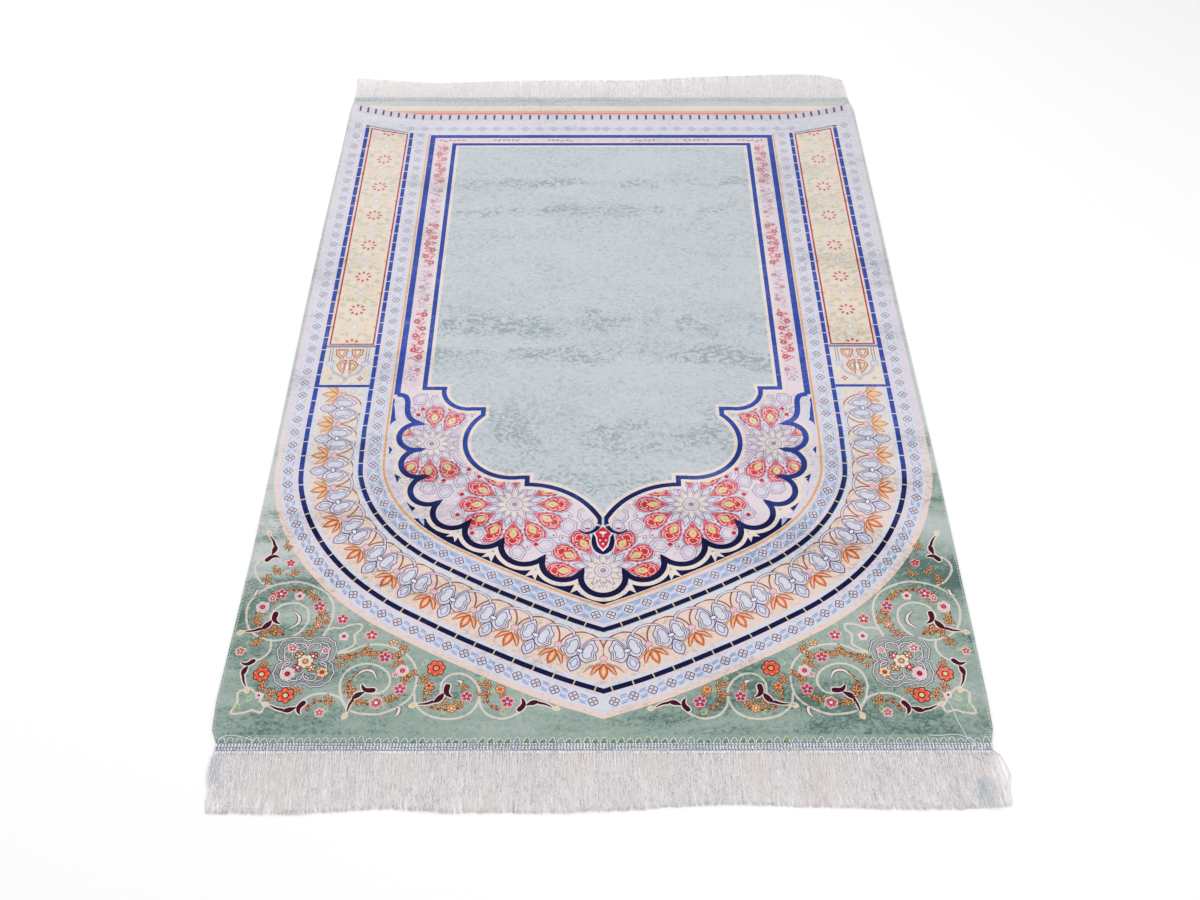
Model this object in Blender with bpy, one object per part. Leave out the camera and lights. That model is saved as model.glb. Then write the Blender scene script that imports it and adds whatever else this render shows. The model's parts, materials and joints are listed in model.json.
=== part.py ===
"""Prayer rug lying flat: printed velvet cloth, a woven braid across each end and a
knotless yarn fringe beyond each braid.  Metres, +Z up.  The origin is the middle of the
underside, +Y runs to the square end of the niche and -Y to its pointed end."""

import math
import random

import bmesh
import bpy
import numpy as np

# ---- driving sizes ----------------------------------------------------------------
RUG_WIDTH = 0.800            # cloth width where the braids hold it
RUG_LENGTH = 1.200           # from outer edge to outer edge of the braids
PIECE_GAP = 0.0003           # between pieces that touch

PILE_HEIGHT = 0.0030         # cloth with its pile
EDGE_HEIGHT = 0.0021         # pile laid over at the bound edge
EDGE_ROUND = 0.0040          # how far in the pile reaches its full height
PILE_WAVE = 0.00035          # slow rise and fall of the top
CLOTH_COLUMNS = 18
CLOTH_ROWS = 32

BRAID_WIDTH = 0.0095
BRAID_HEIGHT = 0.0027
BRAID_GROOVE = 0.0019        # height of the groove between its two ribs
BRAID_STATIONS = 33
BRAID_WAVE = 0.0004          # how far its top rises and falls
BRAID_TURN = 9.0             # radians of that wave a metre

STRANDS = 140                # a fringe
ROOT_STRIP = 0.0030          # woven strip that holds the strands' roots
ROOT_HEIGHT = 0.0024
TIP_HEIGHT = 0.0015
STRAND_SHARE = 0.64          # of the pitch that a strand fills at its root
TIP_SHARE = 0.50
TOP_SHARE = 0.55             # width of a strand's top against its underside
STRAND_STEPS = (0.30, 0.66, 1.0)
STRAND_CURL = 1.6            # power by which the drift grows along a strand
STRAND_STRAY = 0.00055       # sideways stray of a strand's tip
LENGTH_STRAY = 0.0030        # how much shorter a strand may be

# Waves of the cloth's top: radians a metre along x and y, phase, share of PILE_WAVE.
PILE_WAVES = (
    (5.1, 3.7, 0.3, 0.7),
    (5.1, -3.7, 1.1, 0.6),
    (4.0, 13.0, 0.0, 0.5),
)

# Section of a braid from its inner side: share of its width, height.
BRAID_PROFILE = (
    (0.00, 0.0),
    (0.00, 0.7 * BRAID_HEIGHT),
    (0.16, BRAID_HEIGHT),
    (0.36, BRAID_HEIGHT),
    (0.50, BRAID_GROOVE),
    (0.64, BRAID_HEIGHT),
    (0.84, BRAID_HEIGHT),
    (1.00, 0.7 * BRAID_HEIGHT),
    (1.00, 0.0),
)

# How far the bound sides bow out: y, left edge, right edge.
SIDE_EDGES = (
    (-0.5900, -0.4000, 0.4000),
    (-0.5740, -0.4070, 0.4045),
    (-0.5400, -0.4090, 0.4060),
    (-0.4480, -0.4070, 0.4070),
    (-0.3360, -0.4050, 0.4075),
    (-0.2110, -0.4050, 0.4082),
    (-0.0730, -0.4055, 0.4074),
    (0.0830, -0.4060, 0.4060),
    (0.2580, -0.4054, 0.4062),
    (0.4560, -0.4030, 0.4052),
    (0.5660, -0.4025, 0.4050),
    (0.5900, -0.4000, 0.4000),
)

# Length of the strands along each end: x, length.
NEAR_LENGTHS = (
    (-0.400, 0.0715),
    (-0.302, 0.0720),
    (-0.232, 0.0660),
    (-0.150, 0.0710),
    (-0.044, 0.0710),
    (0.036, 0.0670),
    (0.115, 0.0615),
    (0.254, 0.0665),
    (0.334, 0.0680),
    (0.400, 0.0640),
)
FAR_LENGTHS = (
    (-0.400, 0.0600),
    (-0.332, 0.0510),
    (-0.266, 0.0460),
    (-0.134, 0.0530),
    (0.064, 0.0540),
    (0.130, 0.0600),
    (0.197, 0.0660),
    (0.263, 0.0690),
    (0.329, 0.0720),
    (0.365, 0.0690),
    (0.400, 0.0550),
)

# Drift of the strands' tips along x: root x, drift.
NEAR_DRIFT = (
    (-0.400, 0.0020),
    (-0.300, 0.0050),
    (-0.150, 0.0020),
    (0.000, 0.0045),
    (0.150, 0.0015),
    (0.300, 0.0050),
    (0.400, 0.0088),
)
FAR_DRIFT = (
    (-0.400, -0.0010),
    (-0.250, 0.0020),
    (-0.050, -0.0015),
    (0.150, 0.0020),
    (0.400, -0.0015),
)

COLOURS = {
    "rug_cloth": ((0.52, 0.62, 0.64), 0.55),
    "near_braid": ((0.48, 0.53, 0.60), 0.75),
    "far_braid": ((0.48, 0.53, 0.60), 0.75),
    "near_fringe": ((0.78, 0.73, 0.72), 0.70),
    "far_fringe": ((0.78, 0.73, 0.72), 0.70),
}


def table_value(table, at, column=1):
    """Read a table of rows (place, value, ...) between its rows."""
    places = [row[0] for row in table]
    values = [row[column] for row in table]
    return float(np.interp(at, places, values))


def make_material(name):
    colour, roughness = COLOURS[name]
    material = bpy.data.materials.new(name)
    material.use_nodes = True
    shader = material.node_tree.nodes["Principled BSDF"]
    shader.inputs["Base Color"].default_value = (*colour, 1.0)
    shader.inputs["Roughness"].default_value = roughness
    shader.inputs["Metallic"].default_value = 0.0
    return material


def add_object(name, mesh_builder):
    """Turn a bmesh into a named object with its own material."""
    bmesh.ops.recalc_face_normals(mesh_builder, faces=mesh_builder.faces)
    mesh = bpy.data.meshes.new(name)
    mesh_builder.to_mesh(mesh)
    mesh_builder.free()
    part = bpy.data.objects.new(name, mesh)
    bpy.context.scene.collection.objects.link(part)
    mesh.materials.append(make_material(name))
    return part


def pile_top(x, y):
    """Height of the cloth's top: nearly level, a little uneven."""
    rise = 0.0
    for turn_x, turn_y, phase, share in PILE_WAVES:
        rise += share * math.sin(turn_x * x + turn_y * y + phase)
    return PILE_HEIGHT + PILE_WAVE * rise


def inset_stops(count, length, inset):
    """Places across a length, with one stop close to each end."""
    inner = np.linspace(inset, length - inset, count - 1)
    return [0.0, *inner, length]


def build_cloth():
    """One slab: flat underside, soft top, sides bowed out and drawn in at the braids."""
    half = RUG_LENGTH / 2 - BRAID_WIDTH - PIECE_GAP
    rows = [-half + s for s in inset_stops(CLOTH_ROWS, 2 * half, EDGE_ROUND)]
    bm = bmesh.new()
    grid = []
    for j, y in enumerate(rows):
        left = table_value(SIDE_EDGES, y, 1)
        right = table_value(SIDE_EDGES, y, 2)
        row = []
        for i, step in enumerate(inset_stops(CLOTH_COLUMNS, right - left, EDGE_ROUND)):
            x = left + step
            on_rim = i in (0, CLOTH_COLUMNS) or j in (0, CLOTH_ROWS)
            height = EDGE_HEIGHT if on_rim else pile_top(x, y)
            row.append(bm.verts.new((x, y, height)))
        grid.append(row)
    for low, high in zip(grid, grid[1:]):
        for i in range(CLOTH_COLUMNS):
            bm.faces.new((low[i], low[i + 1], high[i + 1], high[i]))
    rim = grid[0][:-1]
    rim += [row[-1] for row in grid[:-1]]
    rim += grid[-1][:0:-1]
    rim += [row[0] for row in grid[:0:-1]]
    foot = [bm.verts.new((v.co.x, v.co.y, 0.0)) for v in rim]
    count = len(rim)
    for k in range(count):
        after = (k + 1) % count
        bm.faces.new((foot[k], foot[after], rim[after], rim[k]))
    bm.faces.new(foot)
    return add_object("rug_cloth", bm)


def build_braid(name, side):
    """Woven heading braid: two ribs with a groove between them, run across the end."""
    inner = RUG_LENGTH / 2 - BRAID_WIDTH
    bm = bmesh.new()
    sections = []
    for k in range(BRAID_STATIONS):
        x = RUG_WIDTH * (k / (BRAID_STATIONS - 1) - 0.5)
        lift = BRAID_WAVE * math.sin(BRAID_TURN * x + side)
        section = []
        for across, height in BRAID_PROFILE:
            y = side * (inner + across * BRAID_WIDTH)
            z = height + lift if height >= BRAID_GROOVE else height
            section.append(bm.verts.new((x, y, z)))
        sections.append(section)
    for one, two in zip(sections, sections[1:]):
        for i in range(len(BRAID_PROFILE)):
            j = (i + 1) % len(BRAID_PROFILE)
            bm.faces.new((one[i], one[j], two[j], two[i]))
    bm.faces.new(sections[0])
    bm.faces.new(sections[-1])
    return add_object(name, bm)


def strand_section(bm, centre, width, height):
    """Four corners of a strand: flat underside on the floor, narrower top."""
    x, y = centre
    foot = width / 2
    top = foot * TOP_SHARE
    corners = ((-foot, 0.0), (foot, 0.0), (top, height), (-top, height))
    return [bm.verts.new((x + dx, y, z)) for dx, z in corners]


def build_fringe(name, side, lengths, drift, seed):
    """Strands side by side on the floor, their roots fused into one narrow strip."""
    rng = random.Random(seed)
    pitch = RUG_WIDTH / STRANDS
    inner = RUG_LENGTH / 2 + PIECE_GAP
    outer = inner + ROOT_STRIP
    bm = bmesh.new()

    def column(x):
        """Corners of the strip at x: inner foot, outer foot, outer top, inner top."""
        corners = ((inner, 0.0), (outer, 0.0), (outer, ROOT_HEIGHT), (inner, ROOT_HEIGHT))
        return [bm.verts.new((x, side * y, z)) for y, z in corners]

    columns = []
    for k in range(STRANDS):
        middle = -RUG_WIDTH / 2 + (k + 0.5) * pitch
        half = pitch * STRAND_SHARE / 2
        columns.append(column(middle - half))
        columns.append(column(middle + half))

    for k, (one, two) in enumerate(zip(columns, columns[1:])):
        bm.faces.new((one[0], one[1], two[1], two[0]))
        bm.faces.new((one[3], one[2], two[2], two[3]))
        bm.faces.new((one[0], one[3], two[3], two[0]))
        if k % 2:
            bm.faces.new((one[1], one[2], two[2], two[1]))
            continue
        root_x = (one[0].co.x + two[0].co.x) / 2
        length = table_value(lengths, root_x) - LENGTH_STRAY * rng.random() ** 2
        stray = STRAND_STRAY * rng.uniform(-1.0, 1.0)
        section = [one[1], two[1], two[2], one[2]]
        for share in STRAND_STEPS:
            bend = table_value(drift, root_x) + stray
            x = root_x + bend * share ** STRAND_CURL
            y = side * (RUG_LENGTH / 2 + ROOT_STRIP + (length - ROOT_STRIP) * share)
            width = pitch * (STRAND_SHARE + (TIP_SHARE - STRAND_SHARE) * share)
            height = ROOT_HEIGHT + (TIP_HEIGHT - ROOT_HEIGHT) * share
            following = strand_section(bm, (x, y), width, height)
            for i in range(4):
                j = (i + 1) % 4
                bm.faces.new((section[i], section[j], following[j], following[i]))
            section = following
        bm.faces.new(section)
    for end in (columns[0], columns[-1]):
        bm.faces.new(end)
    return add_object(name, bm)


def main():
    for item in list(bpy.data.objects):
        bpy.data.objects.remove(item, do_unlink=True)
    build_cloth()
    build_braid("near_braid", -1)
    build_braid("far_braid", 1)
    build_fringe("near_fringe", -1, NEAR_LENGTHS, NEAR_DRIFT, seed=3)
    build_fringe("far_fringe", 1, FAR_LENGTHS, FAR_DRIFT, seed=8)


main()
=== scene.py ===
"""Prayer rug: printed velvet with a pointed niche, a woven braid and a yarn fringe at each end."""

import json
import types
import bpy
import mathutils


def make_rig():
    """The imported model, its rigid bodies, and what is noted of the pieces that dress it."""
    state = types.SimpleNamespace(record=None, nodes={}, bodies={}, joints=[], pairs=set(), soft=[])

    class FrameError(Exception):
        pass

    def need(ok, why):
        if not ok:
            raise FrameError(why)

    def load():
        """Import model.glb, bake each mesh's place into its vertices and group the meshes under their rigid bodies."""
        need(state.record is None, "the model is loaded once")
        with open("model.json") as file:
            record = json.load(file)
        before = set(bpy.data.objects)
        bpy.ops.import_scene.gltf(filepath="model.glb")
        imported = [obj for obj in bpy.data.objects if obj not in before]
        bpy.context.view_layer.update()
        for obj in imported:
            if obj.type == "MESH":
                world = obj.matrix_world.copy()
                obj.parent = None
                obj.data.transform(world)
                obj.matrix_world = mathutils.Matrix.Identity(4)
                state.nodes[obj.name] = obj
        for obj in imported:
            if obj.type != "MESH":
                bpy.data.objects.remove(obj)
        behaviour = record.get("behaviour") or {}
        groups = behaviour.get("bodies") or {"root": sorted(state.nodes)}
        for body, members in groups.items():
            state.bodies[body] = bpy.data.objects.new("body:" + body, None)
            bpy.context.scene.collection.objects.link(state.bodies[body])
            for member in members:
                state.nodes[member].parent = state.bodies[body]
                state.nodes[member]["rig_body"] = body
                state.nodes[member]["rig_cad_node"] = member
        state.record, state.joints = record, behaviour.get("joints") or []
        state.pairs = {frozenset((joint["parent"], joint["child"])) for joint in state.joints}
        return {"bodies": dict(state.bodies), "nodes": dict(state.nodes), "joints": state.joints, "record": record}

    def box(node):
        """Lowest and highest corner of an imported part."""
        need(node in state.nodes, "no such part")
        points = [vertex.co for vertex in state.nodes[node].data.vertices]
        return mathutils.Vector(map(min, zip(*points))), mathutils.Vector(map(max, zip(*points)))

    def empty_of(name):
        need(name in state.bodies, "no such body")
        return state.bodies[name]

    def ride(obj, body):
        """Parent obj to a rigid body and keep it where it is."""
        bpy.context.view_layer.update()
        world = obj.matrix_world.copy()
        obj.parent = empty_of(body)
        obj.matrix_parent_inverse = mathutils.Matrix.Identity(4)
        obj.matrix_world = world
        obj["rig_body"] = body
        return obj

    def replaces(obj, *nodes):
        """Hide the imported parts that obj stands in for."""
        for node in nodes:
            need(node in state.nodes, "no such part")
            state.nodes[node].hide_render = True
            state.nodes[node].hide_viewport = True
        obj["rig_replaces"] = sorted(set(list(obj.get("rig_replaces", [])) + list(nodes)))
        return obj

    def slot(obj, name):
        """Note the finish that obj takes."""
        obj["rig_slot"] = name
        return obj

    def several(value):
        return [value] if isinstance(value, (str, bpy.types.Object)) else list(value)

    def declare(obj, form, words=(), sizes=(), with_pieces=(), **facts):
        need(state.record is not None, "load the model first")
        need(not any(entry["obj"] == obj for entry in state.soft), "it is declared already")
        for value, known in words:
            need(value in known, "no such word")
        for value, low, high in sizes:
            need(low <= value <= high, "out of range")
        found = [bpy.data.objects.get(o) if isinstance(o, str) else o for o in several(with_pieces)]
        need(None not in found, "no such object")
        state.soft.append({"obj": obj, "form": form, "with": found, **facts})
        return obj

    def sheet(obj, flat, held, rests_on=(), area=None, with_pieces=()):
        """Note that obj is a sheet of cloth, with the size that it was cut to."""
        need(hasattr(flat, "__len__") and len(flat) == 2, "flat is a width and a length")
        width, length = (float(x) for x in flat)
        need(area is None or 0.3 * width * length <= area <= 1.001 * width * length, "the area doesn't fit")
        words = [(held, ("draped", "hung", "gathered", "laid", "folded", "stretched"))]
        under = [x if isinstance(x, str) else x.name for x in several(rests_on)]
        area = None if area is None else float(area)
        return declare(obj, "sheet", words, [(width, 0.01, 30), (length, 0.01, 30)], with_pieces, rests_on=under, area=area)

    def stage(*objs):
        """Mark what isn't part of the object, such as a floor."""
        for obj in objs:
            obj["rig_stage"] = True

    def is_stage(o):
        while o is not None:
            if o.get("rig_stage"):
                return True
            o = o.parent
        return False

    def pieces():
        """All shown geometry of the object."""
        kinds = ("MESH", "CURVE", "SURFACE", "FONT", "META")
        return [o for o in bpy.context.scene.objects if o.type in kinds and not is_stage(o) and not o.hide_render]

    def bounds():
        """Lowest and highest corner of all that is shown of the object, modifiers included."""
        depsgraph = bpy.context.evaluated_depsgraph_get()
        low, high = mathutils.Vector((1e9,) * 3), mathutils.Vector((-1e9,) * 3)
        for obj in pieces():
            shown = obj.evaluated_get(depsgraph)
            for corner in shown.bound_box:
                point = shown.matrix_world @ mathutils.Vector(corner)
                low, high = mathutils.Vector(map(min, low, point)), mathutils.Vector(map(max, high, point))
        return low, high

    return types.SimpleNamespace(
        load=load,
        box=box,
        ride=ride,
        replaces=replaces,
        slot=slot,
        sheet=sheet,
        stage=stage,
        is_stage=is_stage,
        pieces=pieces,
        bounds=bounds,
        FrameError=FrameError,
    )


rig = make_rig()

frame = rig.load()        # bodies, nodes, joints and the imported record

import json
import math
import random

import bpy
import numpy as np
from mathutils import Matrix, Vector
from mathutils.geometry import delaunay_2d_cdt

bl_info = {
    "name": "Prayer Rug",
    "version": (1, 0, 0),
    "blender": (4, 5, 0),
    "location": "View3D > Sidebar > Rug",
    "description": "Prints, binds and fringes a velvet prayer rug",
    "category": "Object",
}

MM = 0.001
CAD_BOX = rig.bounds()
CLOTH_LOW, CLOTH_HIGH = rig.box("rug_cloth")
NEAR_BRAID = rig.box("near_braid")
FAR_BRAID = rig.box("far_braid")

# ---- the cloth's own form, metres -----------------------------------------------------
PILE_TOP = 0.0030            # top of the pile
RIM_TOP = 0.0021             # pile at the bound edge
RIM_ROUND = 0.0040           # how far in the pile comes to its full height
PILE_WAVES = (               # radians a metre along x and y, phase, height
    (5.1, 3.7, 0.3, 0.00025),
    (5.1, -3.7, 1.1, 0.00021),
    (4.0, 13.0, 0.0, 0.00018),
)
SIDE_EDGES = (               # along, left edge, right edge
    (-0.590, -0.4000, 0.4000),
    (-0.574, -0.4070, 0.4045),
    (-0.540, -0.4090, 0.4060),
    (-0.448, -0.4070, 0.4070),
    (-0.336, -0.4050, 0.4075),
    (-0.211, -0.4050, 0.4082),
    (-0.073, -0.4055, 0.4074),
    (0.083, -0.4060, 0.4060),
    (0.258, -0.4054, 0.4062),
    (0.456, -0.4030, 0.4052),
    (0.566, -0.4025, 0.4050),
    (0.590, -0.4000, 0.4000),
)
NEAR_LENGTHS = (             # across, length of the fringe from the braid's outer edge
    (-0.400, 0.0715), (-0.302, 0.0720), (-0.232, 0.0660), (-0.150, 0.0710), (-0.044, 0.0710),
    (0.036, 0.0670), (0.115, 0.0615), (0.254, 0.0665), (0.334, 0.0680), (0.400, 0.0640),
)
FAR_LENGTHS = (
    (-0.400, 0.0600), (-0.332, 0.0510), (-0.266, 0.0460), (-0.134, 0.0530), (0.064, 0.0540), (0.130, 0.0600),
    (0.197, 0.0660), (0.263, 0.0690), (0.329, 0.0720), (0.365, 0.0690), (0.400, 0.0550),
)
NEAR_DRIFT = (               # across, how far the tips lean to the side
    (-0.40, 0.0075), (-0.30, 0.0050), (-0.15, 0.0020), (0.00, 0.0045), (0.15, 0.0015), (0.30, 0.0040),
    (0.40, 0.0060),
)
FAR_DRIFT = ((-0.40, -0.0010), (-0.25, 0.0020), (-0.05, -0.0015), (0.15, 0.0020), (0.40, -0.0015))

# ---- the print, millimetres from the middle of the rug --------------------------------
# The outer navy line down the side and round to the point: across, along.
ARCH = (
    (369, -150), (366.5, -220), (358.5, -260), (342.5, -300), (318, -340), (284.5, -378), (242, -412),
    (200, -437), (160, -459), (120, -479), (80, -498), (40, -515), (0, -529),
)
ARCH_SPREAD = 0.055          # how much wider the bands are at the point than at the side
SIDE_TOP = -67.0             # where the curved border begins, below the side panels

# Scalloped line round the stars, cusp to cusp: across, along, rise of the lobe that follows;
# and the plain curve that leads into it.
SCALLOPS = (
    (227.5, -135.5, 28),
    (223.5, -179.5, 27.5),
    (215, -224, 26.5),
    (195.5, -265, 25),
    (158, -296, 23.5),
    (117.5, -324, 21.5),
    (69, -349.5, 22),
    (24, -369, 34),
    (-24, -369, 0),
)
SCALLOP_TOP = (
    (263, -84), (259, -84), (252, -87), (248.5, -96), (247.5, -112), (244, -124), (236, -132),
    (227.5, -135.5),
)

# Navy outline of the field, from its top corner: across, along, rise of the arc that follows.
FIELD_EDGE = (
    (229, 467, 0),
    (229, -72.5, 0),
    (203, -72.5, 0),
    (203.5, -77, 11.5),
    (165, -109.5, 0),
    (151, -109.5, 0),
    (151, -120.5, 43.5),
    (100, -226, 0),
    (91.5, -226, 0),
    (91.5, -237.5, -13.3),
    (6, -287, -2),
    (4.5, -300, 0),
)

# Bands that follow the arch: dye, outer and inner distance in from the navy line, top end.
ARCH_BANDS = (
    ("lavender", -24, -8, 531),
    ("lilac", -8, -3, 520),
    ("blue", -3, 3, 507),
    ("lavender", 3, 8, 500),
    ("blush", 8, 62, SIDE_TOP),
    ("lavender", 62, 67.5, 497),
    ("blue", 68.2, 73.8, 497),
    ("lilac", 73.8, 78.5, 516),
    ("sky", 79, 92.5, 516),
    ("lilac", 93.5, 97.6, 516),
    ("gold", 97.6, 100.2, 496),
    ("lilac", 100.2, 102.4, 496),
)

# Stripes across the far end: dye, lower and upper place.
FAR_STRIPES = (
    ("margin", 573, 592),
    ("ivory", 562.5, 573),
    ("straw", 559, 562.5),
    ("amber", 553, 559),
    ("rose", 548.3, 553),
)

# Stars of the niche: across, along, and the turns in degrees that hold a red petal.
STARS = (
    (105, -269, tuple(range(0, 360, 30))),
    (0, -368, (0, 30, 60, 120, 150, 180)),
    (212, -170, (30, 90, 120, 240, 270, 300)),
)

# Pale kites that fill between the stars: across, along, size.
PALE_SHAPES = (
    (20, -286, 10), (18, -302, 7), (40, -303, 9.5), (66, -331, 10.5), (99, -341, 9), (146, -314, 9),
    (171, -232, 9), (190, -249, 9), (210, -243, 9), (172, -283, 8), (232, -92, 9), (210, -96, 9),
    (243, -112, 5), (182, -113, 5),
)
PALE_KITE = (                # its outline, for a size of one
    (-1.15, 0), (-0.55, -0.8), (0.45, -0.95), (0.9, -0.4), (1.25, 0), (0.9, 0.4), (0.45, 0.95),
    (-0.55, 0.8),
)

# Rows of small things along the arch, counted from its point.
GUARD_LINES = (              # distance in from the navy line, first flower, top end
    (-15.7, 12, 515),
    (86, 9, 505),
)
GUARD_PITCH = 21.8
DASH_LINES = (               # distance in, top end, first dash, pitch, width
    (0, 507, 9.5, 23.9, 6.4),
    (71, 497, -0.1, 21.4, 6.2),
)
RING_PITCH = 52.9
RING_START = RING_PITCH / 2

# Rows of small things across the far end.
INK_DASHES = 29
INK_PITCH = 14.2
INK_OUTER_PITCH = 12.6
INK_INNER = 21               # the dashes are closer together after this one
FAR_FLOWERS = 14
FAR_FLOWER_PITCH = 22.6

# Red squares at the edge of the stars: across, along, turn in degrees.
STAR_SQUARES = (
    (228, -110, 10), (193, -110, -10), (233, -120, 30), (163, -213, 20), (192.5, -231, 0),
    (169, -253, 25), (150, -225, 15), (172, -285, 0), (153, -313, 25), (78, -330, 0),
)

# Slivers that show between the cream band of the lobes and the gold line.
NAVY_SLIVERS = (
    ((267.5, -90), (265.5, -92), (262, -124), (260, -129), (265, -134), (267, -139)),
    ((264.5, -174), (259.5, -180), (263, -188)),
    ((253.5, -220), (244, -226), (249, -234), (246.5, -240.5)),
    ((234.5, -265.5), (222, -274), (226, -279.5), (222, -287)),
)
SKY_SLIVERS = (
    ((266, -98), (262, -100), (260, -112), (262, -120)),
    ((266, -144), (263, -150), (263.5, -158), (266, -162)),
    ((261, -194), (257, -201), (258.5, -209)),
    ((249, -243), (244.5, -248), (244.5, -259)),
    ((216, -286), (211, -292), (210, -302), (217, -293)),
)

# Cream scroll lines of the green corner: across, along.
SCROLLS = (
    (
        (307, -459), (303, -447), (300, -431), (302, -415), (309, -402), (321, -393),
        (335, -386.5), (349, -384), (364, -386.5), (376, -391), (387, -399), (394.5, -410),
        (397, -425), (391, -447), (376, -460), (356, -464), (337, -456), (327, -440),
        (329, -423), (341, -414), (356, -415), (366, -423), (369.5, -434),
    ),
    (
        (308, -462), (305, -451), (296, -447), (289, -448), (279, -443), (267, -442.5),
        (267, -450), (273, -457), (271, -467), (277, -474), (290, -480),
    ),
    (
        (291, -481), (276, -478), (262, -471), (245, -469), (226, -474), (211, -485),
        (202, -500), (200, -520), (205, -537), (218, -549), (236, -557), (256, -556),
        (266, -553),
    ),
    (
        (269, -553), (277, -538), (281, -520), (276, -504), (262, -495), (246, -495.5),
        (232, -505), (228, -519), (235, -530), (246, -532),
    ),
    ((268, -552), (278, -538), (290, -532.5), (304, -532), (316, -538), (322, -546)),
    (
        (201, -530), (198, -545), (188, -556), (172, -562), (154, -562), (140, -555),
        (133, -543), (132, -528), (139, -515), (152, -507), (165, -509), (173, -519),
        (173, -531), (179, -541),
    ),
    ((132, -532), (130, -546), (121, -558), (106, -562.5), (93, -558), (82, -549)),
    ((364, -462), (362, -474), (366, -484), (374, -490)),
    (
        (376, -524), (388, -531), (386, -542), (391, -556), (377, -555), (369, -552),
        (360, -555), (357, -546), (363, -541), (361, -533), (370, -530), (376, -524),
    ),
    ((374, -391), (384, -387), (392, -379), (397.5, -367), (396, -356), (389, -348)),
)

# Thin brown vines along the insides of the scrolls: across, along.
VINES = (
    (
        (290, -487), (262, -480), (240, -480), (222, -486), (213, -500), (212, -515),
        (217, -535), (230, -543),
    ),
    ((318, -436), (314, -420), (322, -404), (340, -396), (360, -397), (376, -405)),
    ((385, -420), (384, -440), (370, -452), (350, -456)),
    ((190, -524), (187, -545), (166, -552), (150, -549)),
    ((120, -521), (124, -536), (117, -549), (102, -553)),
    ((262, -505), (272, -518), (268, -536), (252, -545), (238, -543)),
    ((284, -543), (300, -541), (314, -549)),
)

# Leaf sprays where the scrolls end: across, along, turn in degrees, size, mirror.
SPRAYS = (
    (368, -438, 0, 1, 1),
    (383.3, -498.2, -125.1, 0.86, -1),
    (324.6, -548.8, 33.8, 0.92, 1),
    (254.6, -530.8, -86.5, 0.95, -1),
    (170.5, -532.2, 2.3, 0.98, 1),
    (80.5, -545.9, -145.6, 0.9, 1),
    (381.7, -343.7, 48, 0.915, -1),
)

# Thin curled leaves within the scrolls: across, along.
INNER_CURLS = (
    ((346, -424), (338, -431), (337, -441), (348, -450)),
    ((266, -511), (258, -503), (248, -504), (242, -515)),
    ((158, -516), (152, -517), (153, -523)),
    ((221, -548), (215, -549), (216, -557), (220, -560)),
    ((397, -404), (391, -402), (390, -396), (386, -398)),
)

# Brown and orange sprigs: across, along, turn in degrees, size.
TWIGS = (
    (362, -451, 0, 1.2), (372, -454, -70, 0.7), (382, -436, 100, 0.8), (322, -455, -30, 0.9),
    (327, -404, 60, 0.7), (378, -467, -40, 0.9), (311, -429, 20, 0.9), (316, -442, 80, 0.9),
    (307, -439, 30, 0.6), (366, -496, 60, 0.8), (364, -523, 70, 0.9), (354, -533, 80, 1),
    (326, -529, 20, 0.8), (291, -541, 50, 0.9), (278, -488, 10, 0.9), (285, -496, 70, 0.5),
    (256, -478, 60, 0.8), (248, -483, 0, 0.8), (262, -482, 0, 0.6), (224, -484, 0, 0.7),
    (218, -475, 60, 0.8), (222, -495, -40, 0.8), (213, -514, 80, 0.8), (226, -538, 0, 0.7),
    (270, -528, 85, 1.1), (256, -543, -20, 0.7), (205, -507, 10, 0.7), (191, -514, -60, 0.8),
    (186, -526, 80, 1), (149, -524, 80, 0.6), (126, -521, 0, 0.8), (126, -533, -10, 0.8),
    (107, -533, -60, 0.6), (168, -545, -20, 0.6), (153, -545, 30, 0.7), (370, -410, 80, 0.6),
    (382, -381, 85, 0.9), (372, -369, 40, 0.8), (365, -334, 60, 0.7), (351, -372, -30, 0.7),
)

# Pale green leaves by the flowers: across, along, turn in degrees, size.
PALE_LEAVES = (
    (283, -434, -20, 0.9), (289, -429, 90, 0.7), (248, -459, -10, 0.9), (255, -450, 80, 0.7),
    (170, -499, -10, 0.9), (108, -528, 0, 0.8), (131, -518, 100, 0.6), (107, -549, -110, 0.8),
    (378, -428, 120, 0.7), (385, -478, 20, 0.7), (293, -546, -100, 0.7), (190, -488, -60, 0.8),
    (262, -460, 110, 0.6), (372, -533, -60, 0.8), (382, -551, 50, 0.7),
)

# Dots by the heart of the star under the point: across, along.
HEART_DOTS = (
    (0, -385), (7, -383), (13, -386), (4, -391), (11, -393), (0, -357), (7.5, -357),
)

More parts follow.
